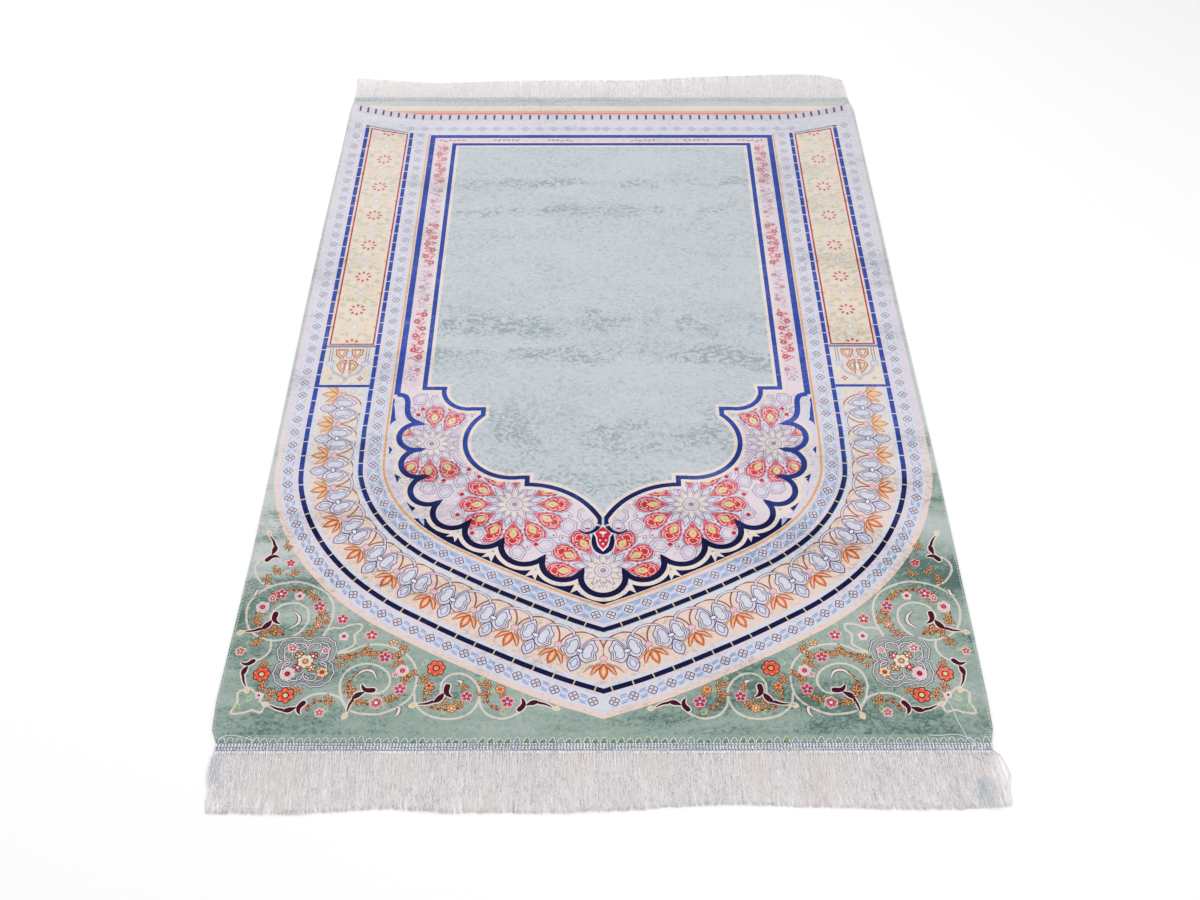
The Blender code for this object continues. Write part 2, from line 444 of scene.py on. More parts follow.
# Small flowers of the green corner: across, along, size, petals, dye, heart.
FLOWERS = (
    (358, -357, 5, 5, "red", "amber"),
    (362, -401, 6.4, 5, "red", "pale"),
    (380, -419, 7, 6, "pink", "rose"),
    (371, -407, 4, 5, "rose", "pale"),
    (341, -404, 5, 5, "pink", "crimson"),
    (317, -418, 6.4, 5, "red", "sky"),
    (288.5, -435.5, 6.2, 5, "red", "pale"),
    (254, -457, 6.2, 5, "red", "pale"),
    (284.5, -458.5, 5, 5, "pink", "red"),
    (302, -477, 3.6, 5, "rose", "pale"),
    (338, -474, 5, 5, "rose", "pale"),
    (322, -491, 8.4, 7, "peach", "amber"),
    (302, -505, 6.4, 6, "straw", "red"),
    (339, -507, 7.4, 6, "pink", "crimson"),
    (315, -443, 4.6, 5, "amber", "pale"),
    (394.5, -478, 5, 5, "rose", "straw"),
    (366.5, -507.5, 9, 7, "scarlet", "straw"),
    (337, -534, 9.4, 6, "scarlet", "straw"),
    (365, -534, 3.4, 5, "pink", "red"),
    (236.5, -486, 6.4, 5, "red", "sky"),
    (216.5, -526.5, 6.4, 5, "red", "sky"),
    (216, -503, 6.6, 6, "pink", "rose"),
    (223, -508, 3, 5, "rose", "pale"),
    (240, -543, 6.8, 6, "rose", "pale"),
    (229, -467, 4.4, 5, "straw", "amber"),
    (298, -555, 5, 5, "rose", "pink"),
    (180, -500, 9.6, 7, "scarlet", "amber"),
    (186, -522, 4.4, 5, "amber", "red"),
    (145, -535.5, 6, 5, "red", "sky"),
    (160, -550, 5, 6, "amber", "pale"),
    (110, -526.5, 4.8, 6, "amber", "scarlet"),
    (101.5, -542, 6.6, 5, "red", "sky"),
)
FLOWER_EDGES = {"straw": "brown", "amber": "brown", "peach": "brown", "red": "pink", "scarlet": "maroon"}
FLOWER_VEINS = {"scarlet": "amber", "red": "rose", "pink": "lilac", "rose": "pink", "amber": "straw"}


# How the print bows up towards the far corners of the cloth: across, along.
BOW_START = (280, 455)
BOW_REACH = (108, 86)
BOW_RISE = 27


# ---- lines and outlines on the flat ---------------------------------------------------
def far_bow(u, v):
    """How far the print bows up towards the far corners of the cloth."""
    out = max(0, (u - BOW_START[0]) / BOW_REACH[0])
    up = min(1, max(0, (v - BOW_START[1]) / BOW_REACH[1]))
    return BOW_RISE * out ** 1.5 * up


def divided(path, step):
    """The same line, with no stretch longer than a step."""
    out = []
    for (u0, v0), (u1, v1) in zip(path, path[1:]):
        count = max(1, math.ceil(math.hypot(u1 - u0, v1 - v0) / step))
        out += [(u0 + (u1 - u0) * k / count, v0 + (v1 - v0) * k / count) for k in range(count)]
    out.append(path[-1])
    return out


def smoothed(path, step=5):
    """A smooth curve through the points."""
    ends = [(2 * path[0][0] - path[1][0], 2 * path[0][1] - path[1][1]), *path]
    ends.append((2 * path[-1][0] - path[-2][0], 2 * path[-1][1] - path[-2][1]))
    out = []
    for a, b, c, d in zip(ends, ends[1:], ends[2:], ends[3:]):
        count = max(1, round(math.hypot(c[0] - b[0], c[1] - b[1]) / step))
        for k in range(count):
            t = k / count
            weights = (
                -0.5 * t ** 3 + t ** 2 - 0.5 * t,
                1.5 * t ** 3 - 2.5 * t ** 2 + 1,
                -1.5 * t ** 3 + 2 * t ** 2 + 0.5 * t,
                0.5 * t ** 3 - 0.5 * t ** 2,
            )
            out.append(tuple(sum(w * p[i] for w, p in zip(weights, (a, b, c, d))) for i in (0, 1)))
    out.append(path[-1])
    return out


def arc(a, b, rise, step=2.6):
    """Points from a to b on an arc that rises to the left of the way; b is left out."""
    chord = math.hypot(b[0] - a[0], b[1] - a[1])
    if abs(rise) < 0.01:
        return [a]
    half = 2 * math.atan(2 * abs(rise) / chord)
    radius = chord / (2 * math.sin(half))
    along = ((b[0] - a[0]) / chord, (b[1] - a[1]) / chord)
    left = (-along[1] * math.copysign(1, rise), along[0] * math.copysign(1, rise))
    middle = ((a[0] + b[0]) / 2, (a[1] + b[1]) / 2)
    count = max(3, round(2 * half * radius / step))
    out = []
    for k in range(count):
        turn = half * (2 * k / count - 1)
        run, lift = radius * math.sin(turn), radius * (math.cos(turn) - math.cos(half))
        out.append((middle[0] + along[0] * run + left[0] * lift,
                    middle[1] + along[1] * run + left[1] * lift))
    return out


def chained(rows):
    """A line from rows of across, along and the rise of the arc that follows."""
    out = []
    for here, after in zip(rows, rows[1:]):
        out += arc(here[:2], after[:2], here[2])
    out.append(rows[-1][:2])
    return out


def beside(path, distance):
    """The line moved to its right by a distance, or by a distance for each point."""
    points = np.array(path, float)
    ways = np.diff(points, axis=0)
    ways /= np.maximum(np.linalg.norm(ways, axis=1), 1e-9)[:, None]
    right = np.column_stack((ways[:, 1], -ways[:, 0]))
    before = np.vstack((right[:1], right))
    after = np.vstack((right, right[-1:]))
    middle = before + after
    middle /= np.maximum(np.linalg.norm(middle, axis=1), 1e-9)[:, None]
    lean = np.maximum(0.55, (middle * before).sum(axis=1))
    moved = points + middle * (np.broadcast_to(distance, len(points)) / lean)[:, None]
    return [tuple(p) for p in moved]


def stations(path, first, pitch, last=1e9):
    """Places at a pitch along a line: point and direction in radians."""
    points = np.array(path, float)
    steps = np.linalg.norm(np.diff(points, axis=0), axis=1)
    run = np.concatenate(([0.0], np.cumsum(steps)))
    out = []
    at = first
    while at < min(last, run[-1]):
        k = int(np.searchsorted(run, at, side="right")) - 1
        share = (at - run[k]) / max(steps[k], 1e-9)
        spot = points[k] + (points[k + 1] - points[k]) * share
        way = points[k + 1] - points[k]
        out.append((tuple(spot), math.atan2(way[1], way[0])))
        at += pitch
    return out


def from_point(path, first, pitch, last=1e9):
    """Places at a pitch along an arch line, counted back from the middle of the rug."""
    inner = next(k for k, place in enumerate(path) if place[0] <= 0)
    (u0, v0), (u1, v1) = path[inner - 1], path[inner]
    tip = (0, v0 + (v1 - v0) * u0 / (u0 - u1))
    back = [tip, *path[inner - 1::-1]]
    return [(place, turn + math.pi) for place, turn in stations(back, first, pitch, last)]


def round_outline(radius, sides=16, squash=1):
    """A circle, or an oval where it is squashed."""
    turns = [math.tau * k / sides for k in range(sides)]
    return [(radius * math.cos(t), radius * squash * math.sin(t)) for t in turns]


def star_outline(points, outer, inner):
    """A star of a number of points, between two circles."""
    out = []
    for k in range(2 * points):
        radius = inner if k % 2 else outer
        turn = math.pi * k / points
        out.append((radius * math.cos(turn), radius * math.sin(turn)))
    return out


def leaf_outline(start, end, width, fullness=0.8, sides=9):
    """A pointed oval along the first axis, widest nearer its end where fullness is low."""
    shares = [k / sides for k in range(sides + 1)]
    upper = [(start + (end - start) * s, width / 2 * math.sin(math.pi * s ** (1 / fullness)) ** 0.8)
             for s in shares[1:-1]]
    lower = [(a, -b) for a, b in reversed(upper)]
    return [(start, 0), *upper, (end, 0), *lower]


class Spot:
    """A place on the print where a motif is drawn, with its turn, size and mirror."""

    def __init__(self, u, v, turn=0, size=1, mirror=1):
        self.u, self.v, self.size, self.mirror = u, v, size, mirror
        self.cos, self.sin = math.cos(turn), math.sin(turn)
        self.turn = turn

    def __call__(self, points):
        """Points of the motif, on the print."""
        out = []
        for a, b in points:
            a, b = a * self.size, b * self.size * self.mirror
            out.append((self.u + a * self.cos - b * self.sin, self.v + a * self.sin + b * self.cos))
        return out

    def turned(self, degrees):
        """The same place, turned on."""
        turn = self.turn + math.radians(degrees)
        return Spot(self.u, self.v, turn, self.size, self.mirror)

    def moved(self, a, b, degrees=0, size=1):
        """Another place of the same motif."""
        (u, v), = self([(a, b)])
        turn = self.turn + math.radians(degrees) * self.mirror
        return Spot(u, v, turn, self.size * size, self.mirror)


class Artwork:
    """Half of the print, drawn flat: each shape lies over the ones before it."""

    EDGE_STEP = 14.0

    def __init__(self):
        self.points, self.outlines, self.dyes, self.masks = [], [], [], []
        self.bowed = True
        self.mask = None

    def _keep(self, outline, dye):
        """Add a closed outline over all the others."""
        start = len(self.points)
        for u, v in outline:
            self.points.append((u, v + far_bow(u, v) if self.bowed else v))
        self.outlines.append(tuple(range(start, len(self.points))))
        self.dyes.append(dye)
        self.masks.append(self.mask)
        return len(self.outlines) - 1

    def fill(self, outline, dye):
        """A shape in one dye."""
        closed = divided([*outline, outline[0]], self.EDGE_STEP)
        return self._keep(closed[:-1], dye)

    def leaf(self, spot, start, end, width, dye, fullness=0.8, sides=9):
        """A pointed oval along the first axis of a spot."""
        self.fill(spot(leaf_outline(start, end, width, fullness, sides)), dye)

    def box(self, u0, u1, v0, v1, dye):
        """A shape with four square corners."""
        self.fill([(u0, v0), (u1, v0), (u1, v1), (u0, v1)], dye)

    def dot(self, u, v, radius, dye, sides=8):
        """A small round shape."""
        self._keep([(u + a, v + b) for a, b in round_outline(radius, sides)], dye)

    def ribbon(self, one, two, dye):
        """Fill between two lines of as many points."""
        for a, b, c, d in zip(one, one[1:], two[1:], two):
            self._keep((a, b, c, d), dye)

    def stroke(self, path, width, dye):
        """A line of a width, or of a width for each share of its length."""
        path = divided(path, self.EDGE_STEP)
        if callable(width):
            width = [width(k / (len(path) - 1)) for k in range(len(path))]
        half = np.asarray(width, float) / 2
        self.ribbon(beside(path, -half), beside(path, half), dye)

    def outlined(self, outline, dye, line_dye, line=0.9):
        """A filled shape with a line round it."""
        self.fill(outline, dye)
        self.stroke([*outline, outline[0], outline[1]], line, line_dye)

    def triangles(self, grid):
        """Cut all shapes along each other and give each triangle its topmost dye."""
        points = [Vector(p) for p in self.points] + [Vector(p) for p in grid]
        edges = [pair for shape in self.outlines for pair in zip(shape, (*shape[1:], shape[0]))]
        made = delaunay_2d_cdt(points, edges, [], 0, 1e-4, False)
        flat = np.array([tuple(p) for p in made[0]])
        faces = np.array(made[2])
        middles = flat[faces].mean(axis=1)
        order = np.argsort(middles[:, 0])
        faces, middles = faces[order], middles[order]
        drawn = np.array(self.points)
        top = np.full(len(faces), -1)
        masks = {}
        for shape, outline in enumerate(self.outlines):
            rim = drawn[list(outline)]
            low, high = rim.min(axis=0), rim.max(axis=0)
            first, last = np.searchsorted(middles[:, 0], (low[0], high[0]))
            near = middles[first:last]
            there = np.flatnonzero((near[:, 1] > low[1]) & (near[:, 1] < high[1])) + first
            there = there[within(rim, middles[there])]
            if shape in self.masks:
                masks[shape] = np.zeros(len(faces), bool)
                masks[shape][there] = True
            if self.masks[shape] is not None:
                there = there[masks[self.masks[shape]][there]]
            top[there] = np.where(top[there] < 0, top[there], shape) if shape else 0
        kept = {}
        for shape in np.unique(top[top >= 0]):
            kept.setdefault(self.dyes[shape], []).append(faces[top == shape])
        return flat, {dye: np.vstack(found) for dye, found in kept.items()}


def within(rim, places):
    """Which places lie inside a closed outline."""
    found = np.zeros(len(places), bool)
    for (u0, v0), (u1, v1) in zip(rim, np.roll(rim, -1, axis=0)):
        if v0 == v1:
            continue
        beyond = (v0 > places[:, 1]) != (v1 > places[:, 1])
        found ^= beyond & (places[:, 0] < u0 + (u1 - u0) * (places[:, 1] - v0) / (v1 - v0))
    return found


# ---- motifs ---------------------------------------------------------------------------
def swelling(ends, middle):
    """Width of a line that is thickest half way."""
    return lambda share: ends + (middle - ends) * math.sin(math.pi * share)


def blossom(art, spot, radius, petals, dye, heart, edge):
    """A small open flower: round petals with an edge and a lighter vein, and a heart."""
    vein = FLOWER_VEINS.get(dye, "pale")
    gap = "bark" if edge == "brown" else "maroon"
    reach, size = 0.66 * radius, 0.35 * radius
    art.dot(spot.u, spot.v, 0.74 * radius * spot.size, gap, 10)
    for out, grow, colour in ((reach, 1, edge), (reach, 0, dye), (0.82 * radius, -0.24 * radius, vein)):
        for k in range(petals):
            turn = math.tau * k / petals
            (u, v), = spot([(out * math.cos(turn), out * math.sin(turn))])
            art.dot(u, v, size * spot.size + grow, colour, 8 if grow > -0.1 else 5)
    art.dot(spot.u, spot.v, 0.44 * radius * spot.size, gap, 8)
    art.dot(spot.u, spot.v, 0.30 * radius * spot.size, heart, 7)


def twig(art, spot, path):
    """A short brown-edged orange stem with a pair of leaves."""
    line = smoothed(spot(path), 3)
    art.stroke(line, swelling(1.8, 3.8), "bark")
    art.stroke(line, swelling(0.4, 1.8), "amber")
    for (place, turn), side in zip(stations(line, 3, 4.5), (1, -1, 1)):
        leaf = Spot(*place, turn + side * 0.9)
        art.leaf(leaf, 0, 6.6, 3.2, "bark", 0.8, 5)
        art.leaf(leaf, 1, 5.4, 1.5, "straw", 0.8, 4)


def guard_flower(art, spot, size=1):
    """The diamond flower of the guard stripes."""
    for start, reach, wide, dye in ((0, 6.2, 6.6, "slate"), (1, 5, 4.4, "lilac")):
        for k in range(4):
            petal = leaf_outline(start * size, reach * size, wide * size, 0.8, 4)
            art.fill(spot.turned(90 * k)(petal), dye)
    art.dot(spot.u, spot.v, 1.6 * size, "slate", 6)
    art.dot(spot.u, spot.v, 1.1 * size, "gold", 6)


def guard_row(art, places, between):
    """Flowers along a guard stripe, with a pale twisted leaf between each two."""
    for (u, v), turn in between:
        leaf = Spot(u, v, turn + 0.14)
        art.leaf(leaf, -7, 7, 11, "sky", 1)
        art.leaf(leaf, -6.6, 6.6, 5.2, "sky deep", 1)
        art.leaf(leaf, -5.6, 5.6, 3.4, "lavender", 1)
        for side in (-1, 1):
            line = leaf.moved(side * 2, side * 4.6)
            art.leaf(line, -5, 5, 1.1, "periwinkle", 1, 5)
    for (u, v), turn in places:
        art.fill(Spot(u, v, turn)(round_outline(7.4, 10, 1)), "lavender")
        guard_flower(art, Spot(u, v, turn))


def dash_gaps(art, places, width):
    """Light cuts across a navy line."""
    for (u, v), turn in places:
        gap = Spot(u, v, turn)
        art.fill(gap([(-0.7, -width / 2), (0.7, -width / 2), (0.7, width / 2), (-0.7, width / 2)]), "straw")


def palmette(art, spot):
    """Lilac palmette of the main border: two tulip petals and a pointed leaf."""
    outer = [(1, 0.5), (2.2, -8), (5, -14.5), (9.5, -19), (13, -15), (18.5, -9.5), (18, -3),
             (20.5, 3), (16.5, 7.5), (11, 11.5), (5.5, 9.5), (1.5, 5.5)]
    inner = [(3.2, -4), (5.4, -11), (9, -13.6), (13.6, -8.6), (13, -3), (14.6, 2), (10, 6.8),
             (5, 4)]
    middle = spot.moved(-1.5, 0)
    for side in (-1, 1):
        def lobe(points, side=side):
            return spot([(side * a - 1.5, b) for a, b in points])

        art.outlined(smoothed(lobe([*outer, outer[0]]), 2.4), "lilac", "slate", 1.1)
        art.outlined(smoothed(lobe([*inner, inner[0]]), 2.4), "lavender", "slate", 0.9)
        art.stroke(smoothed(lobe([(17, -8), (15.6, -3), (17.4, 2.6), (12.4, 8.2)]), 2.4), 0.9, "slate")
        art.stroke(lobe([(3.6, 9), (6.5, 15)]), 1, "slate")
        art.fill(lobe(leaf_path((15.4, -12.6), (17.2, -6), 2)), "rosy")
    art.outlined(middle(leaf_path((0, 5), (0, 27), 14)), "lilac", "slate", 1.2)
    art.outlined(middle(leaf_path((0, 9), (0, 22), 6.8)), "lavender", "periwinkle", 1.1)
    art.outlined(spot.moved(-1.5, -1)(leaf_path((-4.4, 0), (4.4, 0), 5.2)), "pale", "slate", 1.1)


def palmette_stem(art, spot):
    """Stem that arches from one palmette over the ring's edge to the next."""
    way = [(-1.5, -1), (0.5, -9), (4, -16), (10, -21.5), (19, -24.6), (27, -24.8),
           (34.5, -22), (41.5, -13.5), (50, -2.5)]
    stem = smoothed(spot(way), 4)
    art.stroke(stem, 3.8, "slate")
    art.stroke(stem, 2.2, "lilac")


def leaf_path(start, end, width):
    """A leaf outline from one point to another."""
    length = math.hypot(end[0] - start[0], end[1] - start[1])
    spot = Spot(*start, math.atan2(end[1] - start[1], end[0] - start[0]))
    return spot(leaf_outline(0, length, width, 0.9))


def border_lily(art, spot):
    """Orange three-pointed leaf with two thin curls, where two rings of the border meet."""
    for side in (-1, 1):
        curl = [(side * 1, 3), (side * 6, 8), (side * 15, 11), (side * 22, 18)]
        curl = smoothed(spot(curl), 3)
        art.stroke(curl, swelling(0.9, 2.8), "brown")
        art.stroke(curl, swelling(0.2, 1), "amber light")
        way = smoothed(spot([(side * 1.5, 8), (side * 8, 12.5), (side * 14, 21.5)]), 2.5)
        art.stroke(way, swelling(1.6, 6.2), "brown")
        art.stroke(way, swelling(0.3, 4.2), "orange")
        art.stroke(way, swelling(0.1, 1.5), "amber light")
    petal = [(0, 7), (-4.6, 14), (-4.4, 19), (0, 27), (4.4, 19), (4.6, 14)]
    art.outlined(smoothed(spot([*petal, petal[0]]), 4), "orange", "brown", 1.1)
    art.fill(spot(leaf_path((0, 10), (0, 23), 4)), "amber light")


def border_ring(art, spot, radius=25.5):
    """Thin brown ring round a palmette, open to the outside."""
    turns = [math.radians(176 + 188 * k / 24) for k in range(25)]
    line = [(radius * math.cos(t), radius * math.sin(t) - 0.5) for t in turns]
    art.stroke(spot(line), 1.9, "brown")


def star_flower(art, spot, petals):
    """Twelve-fold star of the niche with its kites and red petals."""
    for k in range(12):
        out = spot.turned(30 * k)
        gap = spot.turned(30 * k + 15)
        art.outlined(gap(leaf_outline(46, 72, 11, 0.7, 6)), "lavender", "mauve", 1)
        art.outlined(out(shield(25, 69, 13)), "lilac", "mauve", 1.2)
        art.outlined(out(shield(31, 62, 9)), "rosy", "mauve", 0.9)
        art.outlined(out(leaf_outline(38, 56, 8, 0.8, 6)), "mallow", "mauve", 0.6)
        art.dot(*gap([(67, 0)])[0], 1.6, "rose", 5)
    for degrees in petals:
        red_petal(art, spot.turned(degrees))
    for k in range(12):
        out = spot.turned(30 * k + 15)
        kite = [(18, 0), (26, 4.6), (36, 0), (26, -4.6)]
        art.outlined(out(kite), "lilac", "slate", 0.9)


def shield(start, end, half):
    """Outline of a star's petal: pointed within, widest near its blunt head."""
    rows = ((0, 0), (0.45, 0.82), (0.70, 1), (0.88, 0.70), (1, 0))
    upper = [(start + (end - start) * s, half * w) for s, w in rows]
    return upper + [(a, -b) for a, b in upper[-2:0:-1]]


def star_heart(art, spot):
    """Pale many-pointed middle of a star, with rings and dots."""
    art.outlined(spot(star_outline(12, 24, 15.5)), "rosy", "mauve", 1)
    art.fill(spot(star_outline(12, 20, 13.5)), "ivory")
    for radius, dye in ((10.6, "taupe"), (9.6, "lilac"), (6.4, "mauve"), (5.8, "rosy"), (3.4, "taupe")):
        art.fill(spot(round_outline(radius, 20)), dye)
    for k in range(12):
        (u, v), = spot.turned(30 * k + 15)([(13.6, 0)])
        art.dot(u, v, 1, "taupe", 6)


def red_petal(art, spot):
    """One red petal of a star: pointed within, with a small gold heart and pale tracery."""
    art.fill(spot(shield(26.5, 67, 12)), "red")
    art.fill(spot(shield(29, 64.8, 10.2)), "pink")
    art.fill(spot(shield(30, 63.9, 9.5)), "red")
    for side in (-1, 1):
        for way in ([(36, 0.5), (42, 6.4), (48, 8.4), (50, 5.4)],
                    [(60.5, 0), (57.6, 4.4), (53.4, 5.6), (52, 2.6)],
                    [(52.6, 8), (57, 7.8), (59.6, 4.8)]):
            art.stroke(smoothed(spot([(a, side * b) for a, b in way]), 2.5), 1.1, "blush")
        for a, b in ((40, 8.4), (48, 10.8), (57, 9.8)):
            art.dot(*spot([(a, side * b)])[0], 1.5, "crimson", 5)
    heart = [(37.5, 0), (41, 3.2), (45.6, 4.6), (49.6, 2.4), (52.4, 0), (49.6, -2.4), (45.6, -4.6),
             (41, -3.2)]
    art.outlined(spot(heart), "straw", "amber", 1.1)
    art.leaf(spot, 42, 48.4, 3.2, "leaf", 0.9, 4)
    art.dot(*spot([(56.4, 0)])[0], 1.3, "crimson", 5)


def scroll_cluster(art, top, bottom, middle, swing, dyes, rng):
    """Tangled twigs down a narrow strip, with leaves and small flowers in the given dyes."""
    stem, flower, accent = dyes
    bold = flower in ("red", "crimson")
    wide = 1.5 if bold else 1.0
    v, side = top - 2, 1.0
    while v > bottom + 5.0:
        reach = swing * rng.uniform(0.6, 1.1)
        way = [(middle - side * reach, v + rng.uniform(-2, 2)), (middle, v - rng.uniform(2, 5)),
               (middle + side * reach, v - rng.uniform(3, 8))]
        art.stroke(smoothed(way, 2.5), wide, stem)
        for _ in range(3):
            u = middle + rng.uniform(-1, 1) * reach
            leaf = Spot(u, v - rng.uniform(0, 6), rng.uniform(0, 6.2))
            size = rng.uniform(4, 6.5)
            art.leaf(leaf, 0, size, 1.2 + wide * 0.8, rng.choice((stem, flower, accent)), 0.8, 4)
        v -= rng.uniform(5, 7)
        side = -side
    places = stations([(middle, top - 6), (middle, bottom + 4)], 4, 14.0 if bold else 26)
    for k, ((u, v), turn) in enumerate(places):
        spot = Spot(middle + (0.6 if k % 2 else -0.6) * swing, v, turn)
        blossom(art, spot, 4.2 if bold else 3.2, 5, flower, "pale", stem)


def panel_star(art, spot):
    """One repeat of the side panel: a ring of red dots in a gold lattice."""
    for k in range(8):
        out = spot.turned(45 * k)
        art.leaf(out, 5.5, 12, 4, "rose", 1, 6)
        art.leaf(out, 6.6, 11, 2.2, "crimson", 1, 6)
        art.outlined(out(leaf_outline(14, 22, 6, 1, 6)), "cream", "straw", 1.1)
    for k in range(8):
        out = spot.turned(45 * k + 22.5)
        art.leaf(out, 17, 27.5, 5, "olive", 1, 6)


def panel_edge(art, spot):
    """Half a gold flower where the lattice meets the panel's side."""
    for degrees in (-50, 0, 50):
        art.leaf(spot.turned(degrees), 2, 11, 5, "straw", 1, 6)
    art.fill(spot(round_outline(3.2, 8)), "amber")
    art.fill(spot.moved(14, 0)(round_outline(2.2, 8)), "lilac")


# ---- the print, from the ground up ----------------------------------------------------
def arch_line(distance, top):
    """The arch moved in by a distance, from a top end down past its point."""
    side = divided([(ARCH[0][0], top), ARCH[0]], 14)
    path = side[:-1] + smoothed([*ARCH, (-40, -544.5)], 9)
    if distance < 0.0:
        return beside(path, distance)
    spread = [1 + ARCH_SPREAD * min(1, max(0, (-150 - v) / 380)) for _, v in path]
    return beside(path, distance * np.array(spread))


def cloth_outline(inset):
    """Half of the cloth's outline, drawn in from its edge."""
    end = CLOTH_HIGH[1] / MM
    rows = [(-left / MM, y / MM) for y, left, _ in SIDE_EDGES]
    lowest, highest = rows[0][1], rows[-1][1]
    rows = [(u, v * end / (highest if v > 0 else -lowest)) for u, v in rows]
    side = [(u - inset, max(inset - end, min(end - inset, v))) for u, v in smoothed(rows, 24)]
    return [(0, inset - end), *side, (0, end - inset)]


def draw_ground(art):
    """Margins, the green near end, the far stripes and the pale ground of the bands."""
    art.bowed = False
    for inset in (0, 1.3, 2.6, 4):
        art.fill(cloth_outline(inset), "margin")
    art.box(-5, 420, -620, -130, "green")
    art.box(-5, 420, -592, -581.5, "slate green")
    for dye, low, high in FAR_STRIPES:
        art.box(-5, 420, low, high, dye)
    art.bowed = True
    art.box(-5, 400.5, -130, 548.3, "lavender")
    art.box(-5, 400.5, 531, 548.3, "grey pink")


def draw_bands(art):
    """Bands that follow the arch, with their flowers and dashes, and the far row."""
    art.ribbon(arch_line(-32, 548.3), arch_line(-22.5, 548.3), "lilac")
    art.ribbon(arch_line(-32, -140), arch_line(-26, -140), "blush")
    for dye, outer, inner, top in ARCH_BANDS:
        art.ribbon(arch_line(outer, top), arch_line(inner, top), dye)
    for distance, first, top in GUARD_LINES:
        line = arch_line(distance, top)
        flowers = from_point(line, first, GUARD_PITCH)
        guard_row(art, flowers, from_point(line, first + GUARD_PITCH / 2, GUARD_PITCH))
    for distance, top, first, pitch, width in DASH_LINES:
        dash_gaps(art, from_point(arch_line(distance, top), first, pitch), width)
    art.box(-5, 393, 516, 531, "lavender")
    art.box(-5, 300, 497, 516, "lavender")
    for k in range(INK_DASHES):
        inner = min(k, INK_INNER)
        u = INK_PITCH * inner + INK_OUTER_PITCH * (k - inner)
        art.box(u - 1.6, u + 1.6, 534.5, 547, "ink")
    for k in range(FAR_FLOWERS):
        guard_flower(art, Spot(7 + FAR_FLOWER_PITCH * k, 508.5))
        leaf = Spot(18.3 + FAR_FLOWER_PITCH * k, 508.5, 0.2)
        art.leaf(leaf, -6.5, 6.5, 5.6, "periwinkle", 1)
        art.leaf(leaf, -5.5, 5.5, 3.6, "sky", 1)


def draw_border(art):
    """Rings with palmettes down the main border, lilies where they meet."""
    ground = arch_line(8, SIDE_TOP) + arch_line(62, SIDE_TOP)[::-1]
    art.mask = art.fill(ground, "blush")
    middle = arch_line(37, SIDE_TOP)
    rings = from_point(middle, RING_START, RING_PITCH)
    knots = from_point(middle, 0, RING_PITCH)
    for (u, v), turn in rings:
        spot = Spot(u, v, turn)
        border_ring(art, spot)
        for side in (-1, 1):
            art.fill(spot(leaf_path((side * 10, -20), (side * 3, -21.5), 2.4)), "straw")
    for (u, v), turn in rings:
        palmette_stem(art, Spot(u, v, turn))
    for (u, v), turn in rings:
        palmette(art, Spot(u, v, turn))
    for (u, v), turn in knots:
        spot = Spot(u, v, math.pi if u < 1.0 else turn)
        border_lily(art, spot)
        art.outlined(spot(round_outline(4.4, 12, 0.8)), "pink", "mauve", 0.9)
    art.mask = None


def draw_side_panel(art):
    """Long panel with its lattice, beside the niche."""
    art.mask = art.fill([(303, 10), (366, 10), (366, 503), (303, 495)], "peach")
    for k in range(8):
        v = 80 + 69.5 * (k - 1)
        for lean in (-1, 1):
            way = [(304, v - 34.75 * lean), (334, v - 12 * lean), (364, v - 34.75 * lean)]
            art.stroke(smoothed(way, 6), 1.5, "straw")
            art.outlined(Spot(334, v - 17.5 * lean)(round_outline(3.4, 4)), "amber", "straw", 1.2)
            for u in (319, 349):
                art.leaf(Spot(u, v - 20 * lean, 0.6), -4.5, 4.5, 3.6, "olive", 1, 5)
                art.leaf(Spot(u, v - 29 * lean, -0.6), -4.5, 4.5, 3.2, "amber light", 1, 5)
        panel_star(art, Spot(334, v))
        for u, turn in ((305.5, 0), (363, math.pi)):
            panel_edge(art, Spot(u, v + 34.75, turn))
            art.fill(Spot(u, v, turn)(leaf_path((2, 0), (13, 0), 6)), "lilac")
            for rise in (-14, 14):
                art.fill(Spot(u, v + rise, turn)(leaf_path((3, 0), (13, 3), 4)), "olive")
        for u, turn in ((334, 1.57), (334, -1.57)):
            art.fill(Spot(u, v + 34.75, turn)(leaf_path((3, 0), (12, 0), 5)), "lilac")
        art.outlined(Spot(334, v + 34.75)(round_outline(3, 8)), "pale", "olive", 1)
    art.mask = None
    edge = [(304.5, 11.2), (362, 11.2), (362, 500.3), (304.5, 493)]
    art.stroke([*edge, edge[0], edge[1]], 2.2, "scarlet line")
    art.stroke([(303, 497.5), (367, 506)], 3.2, "slate")


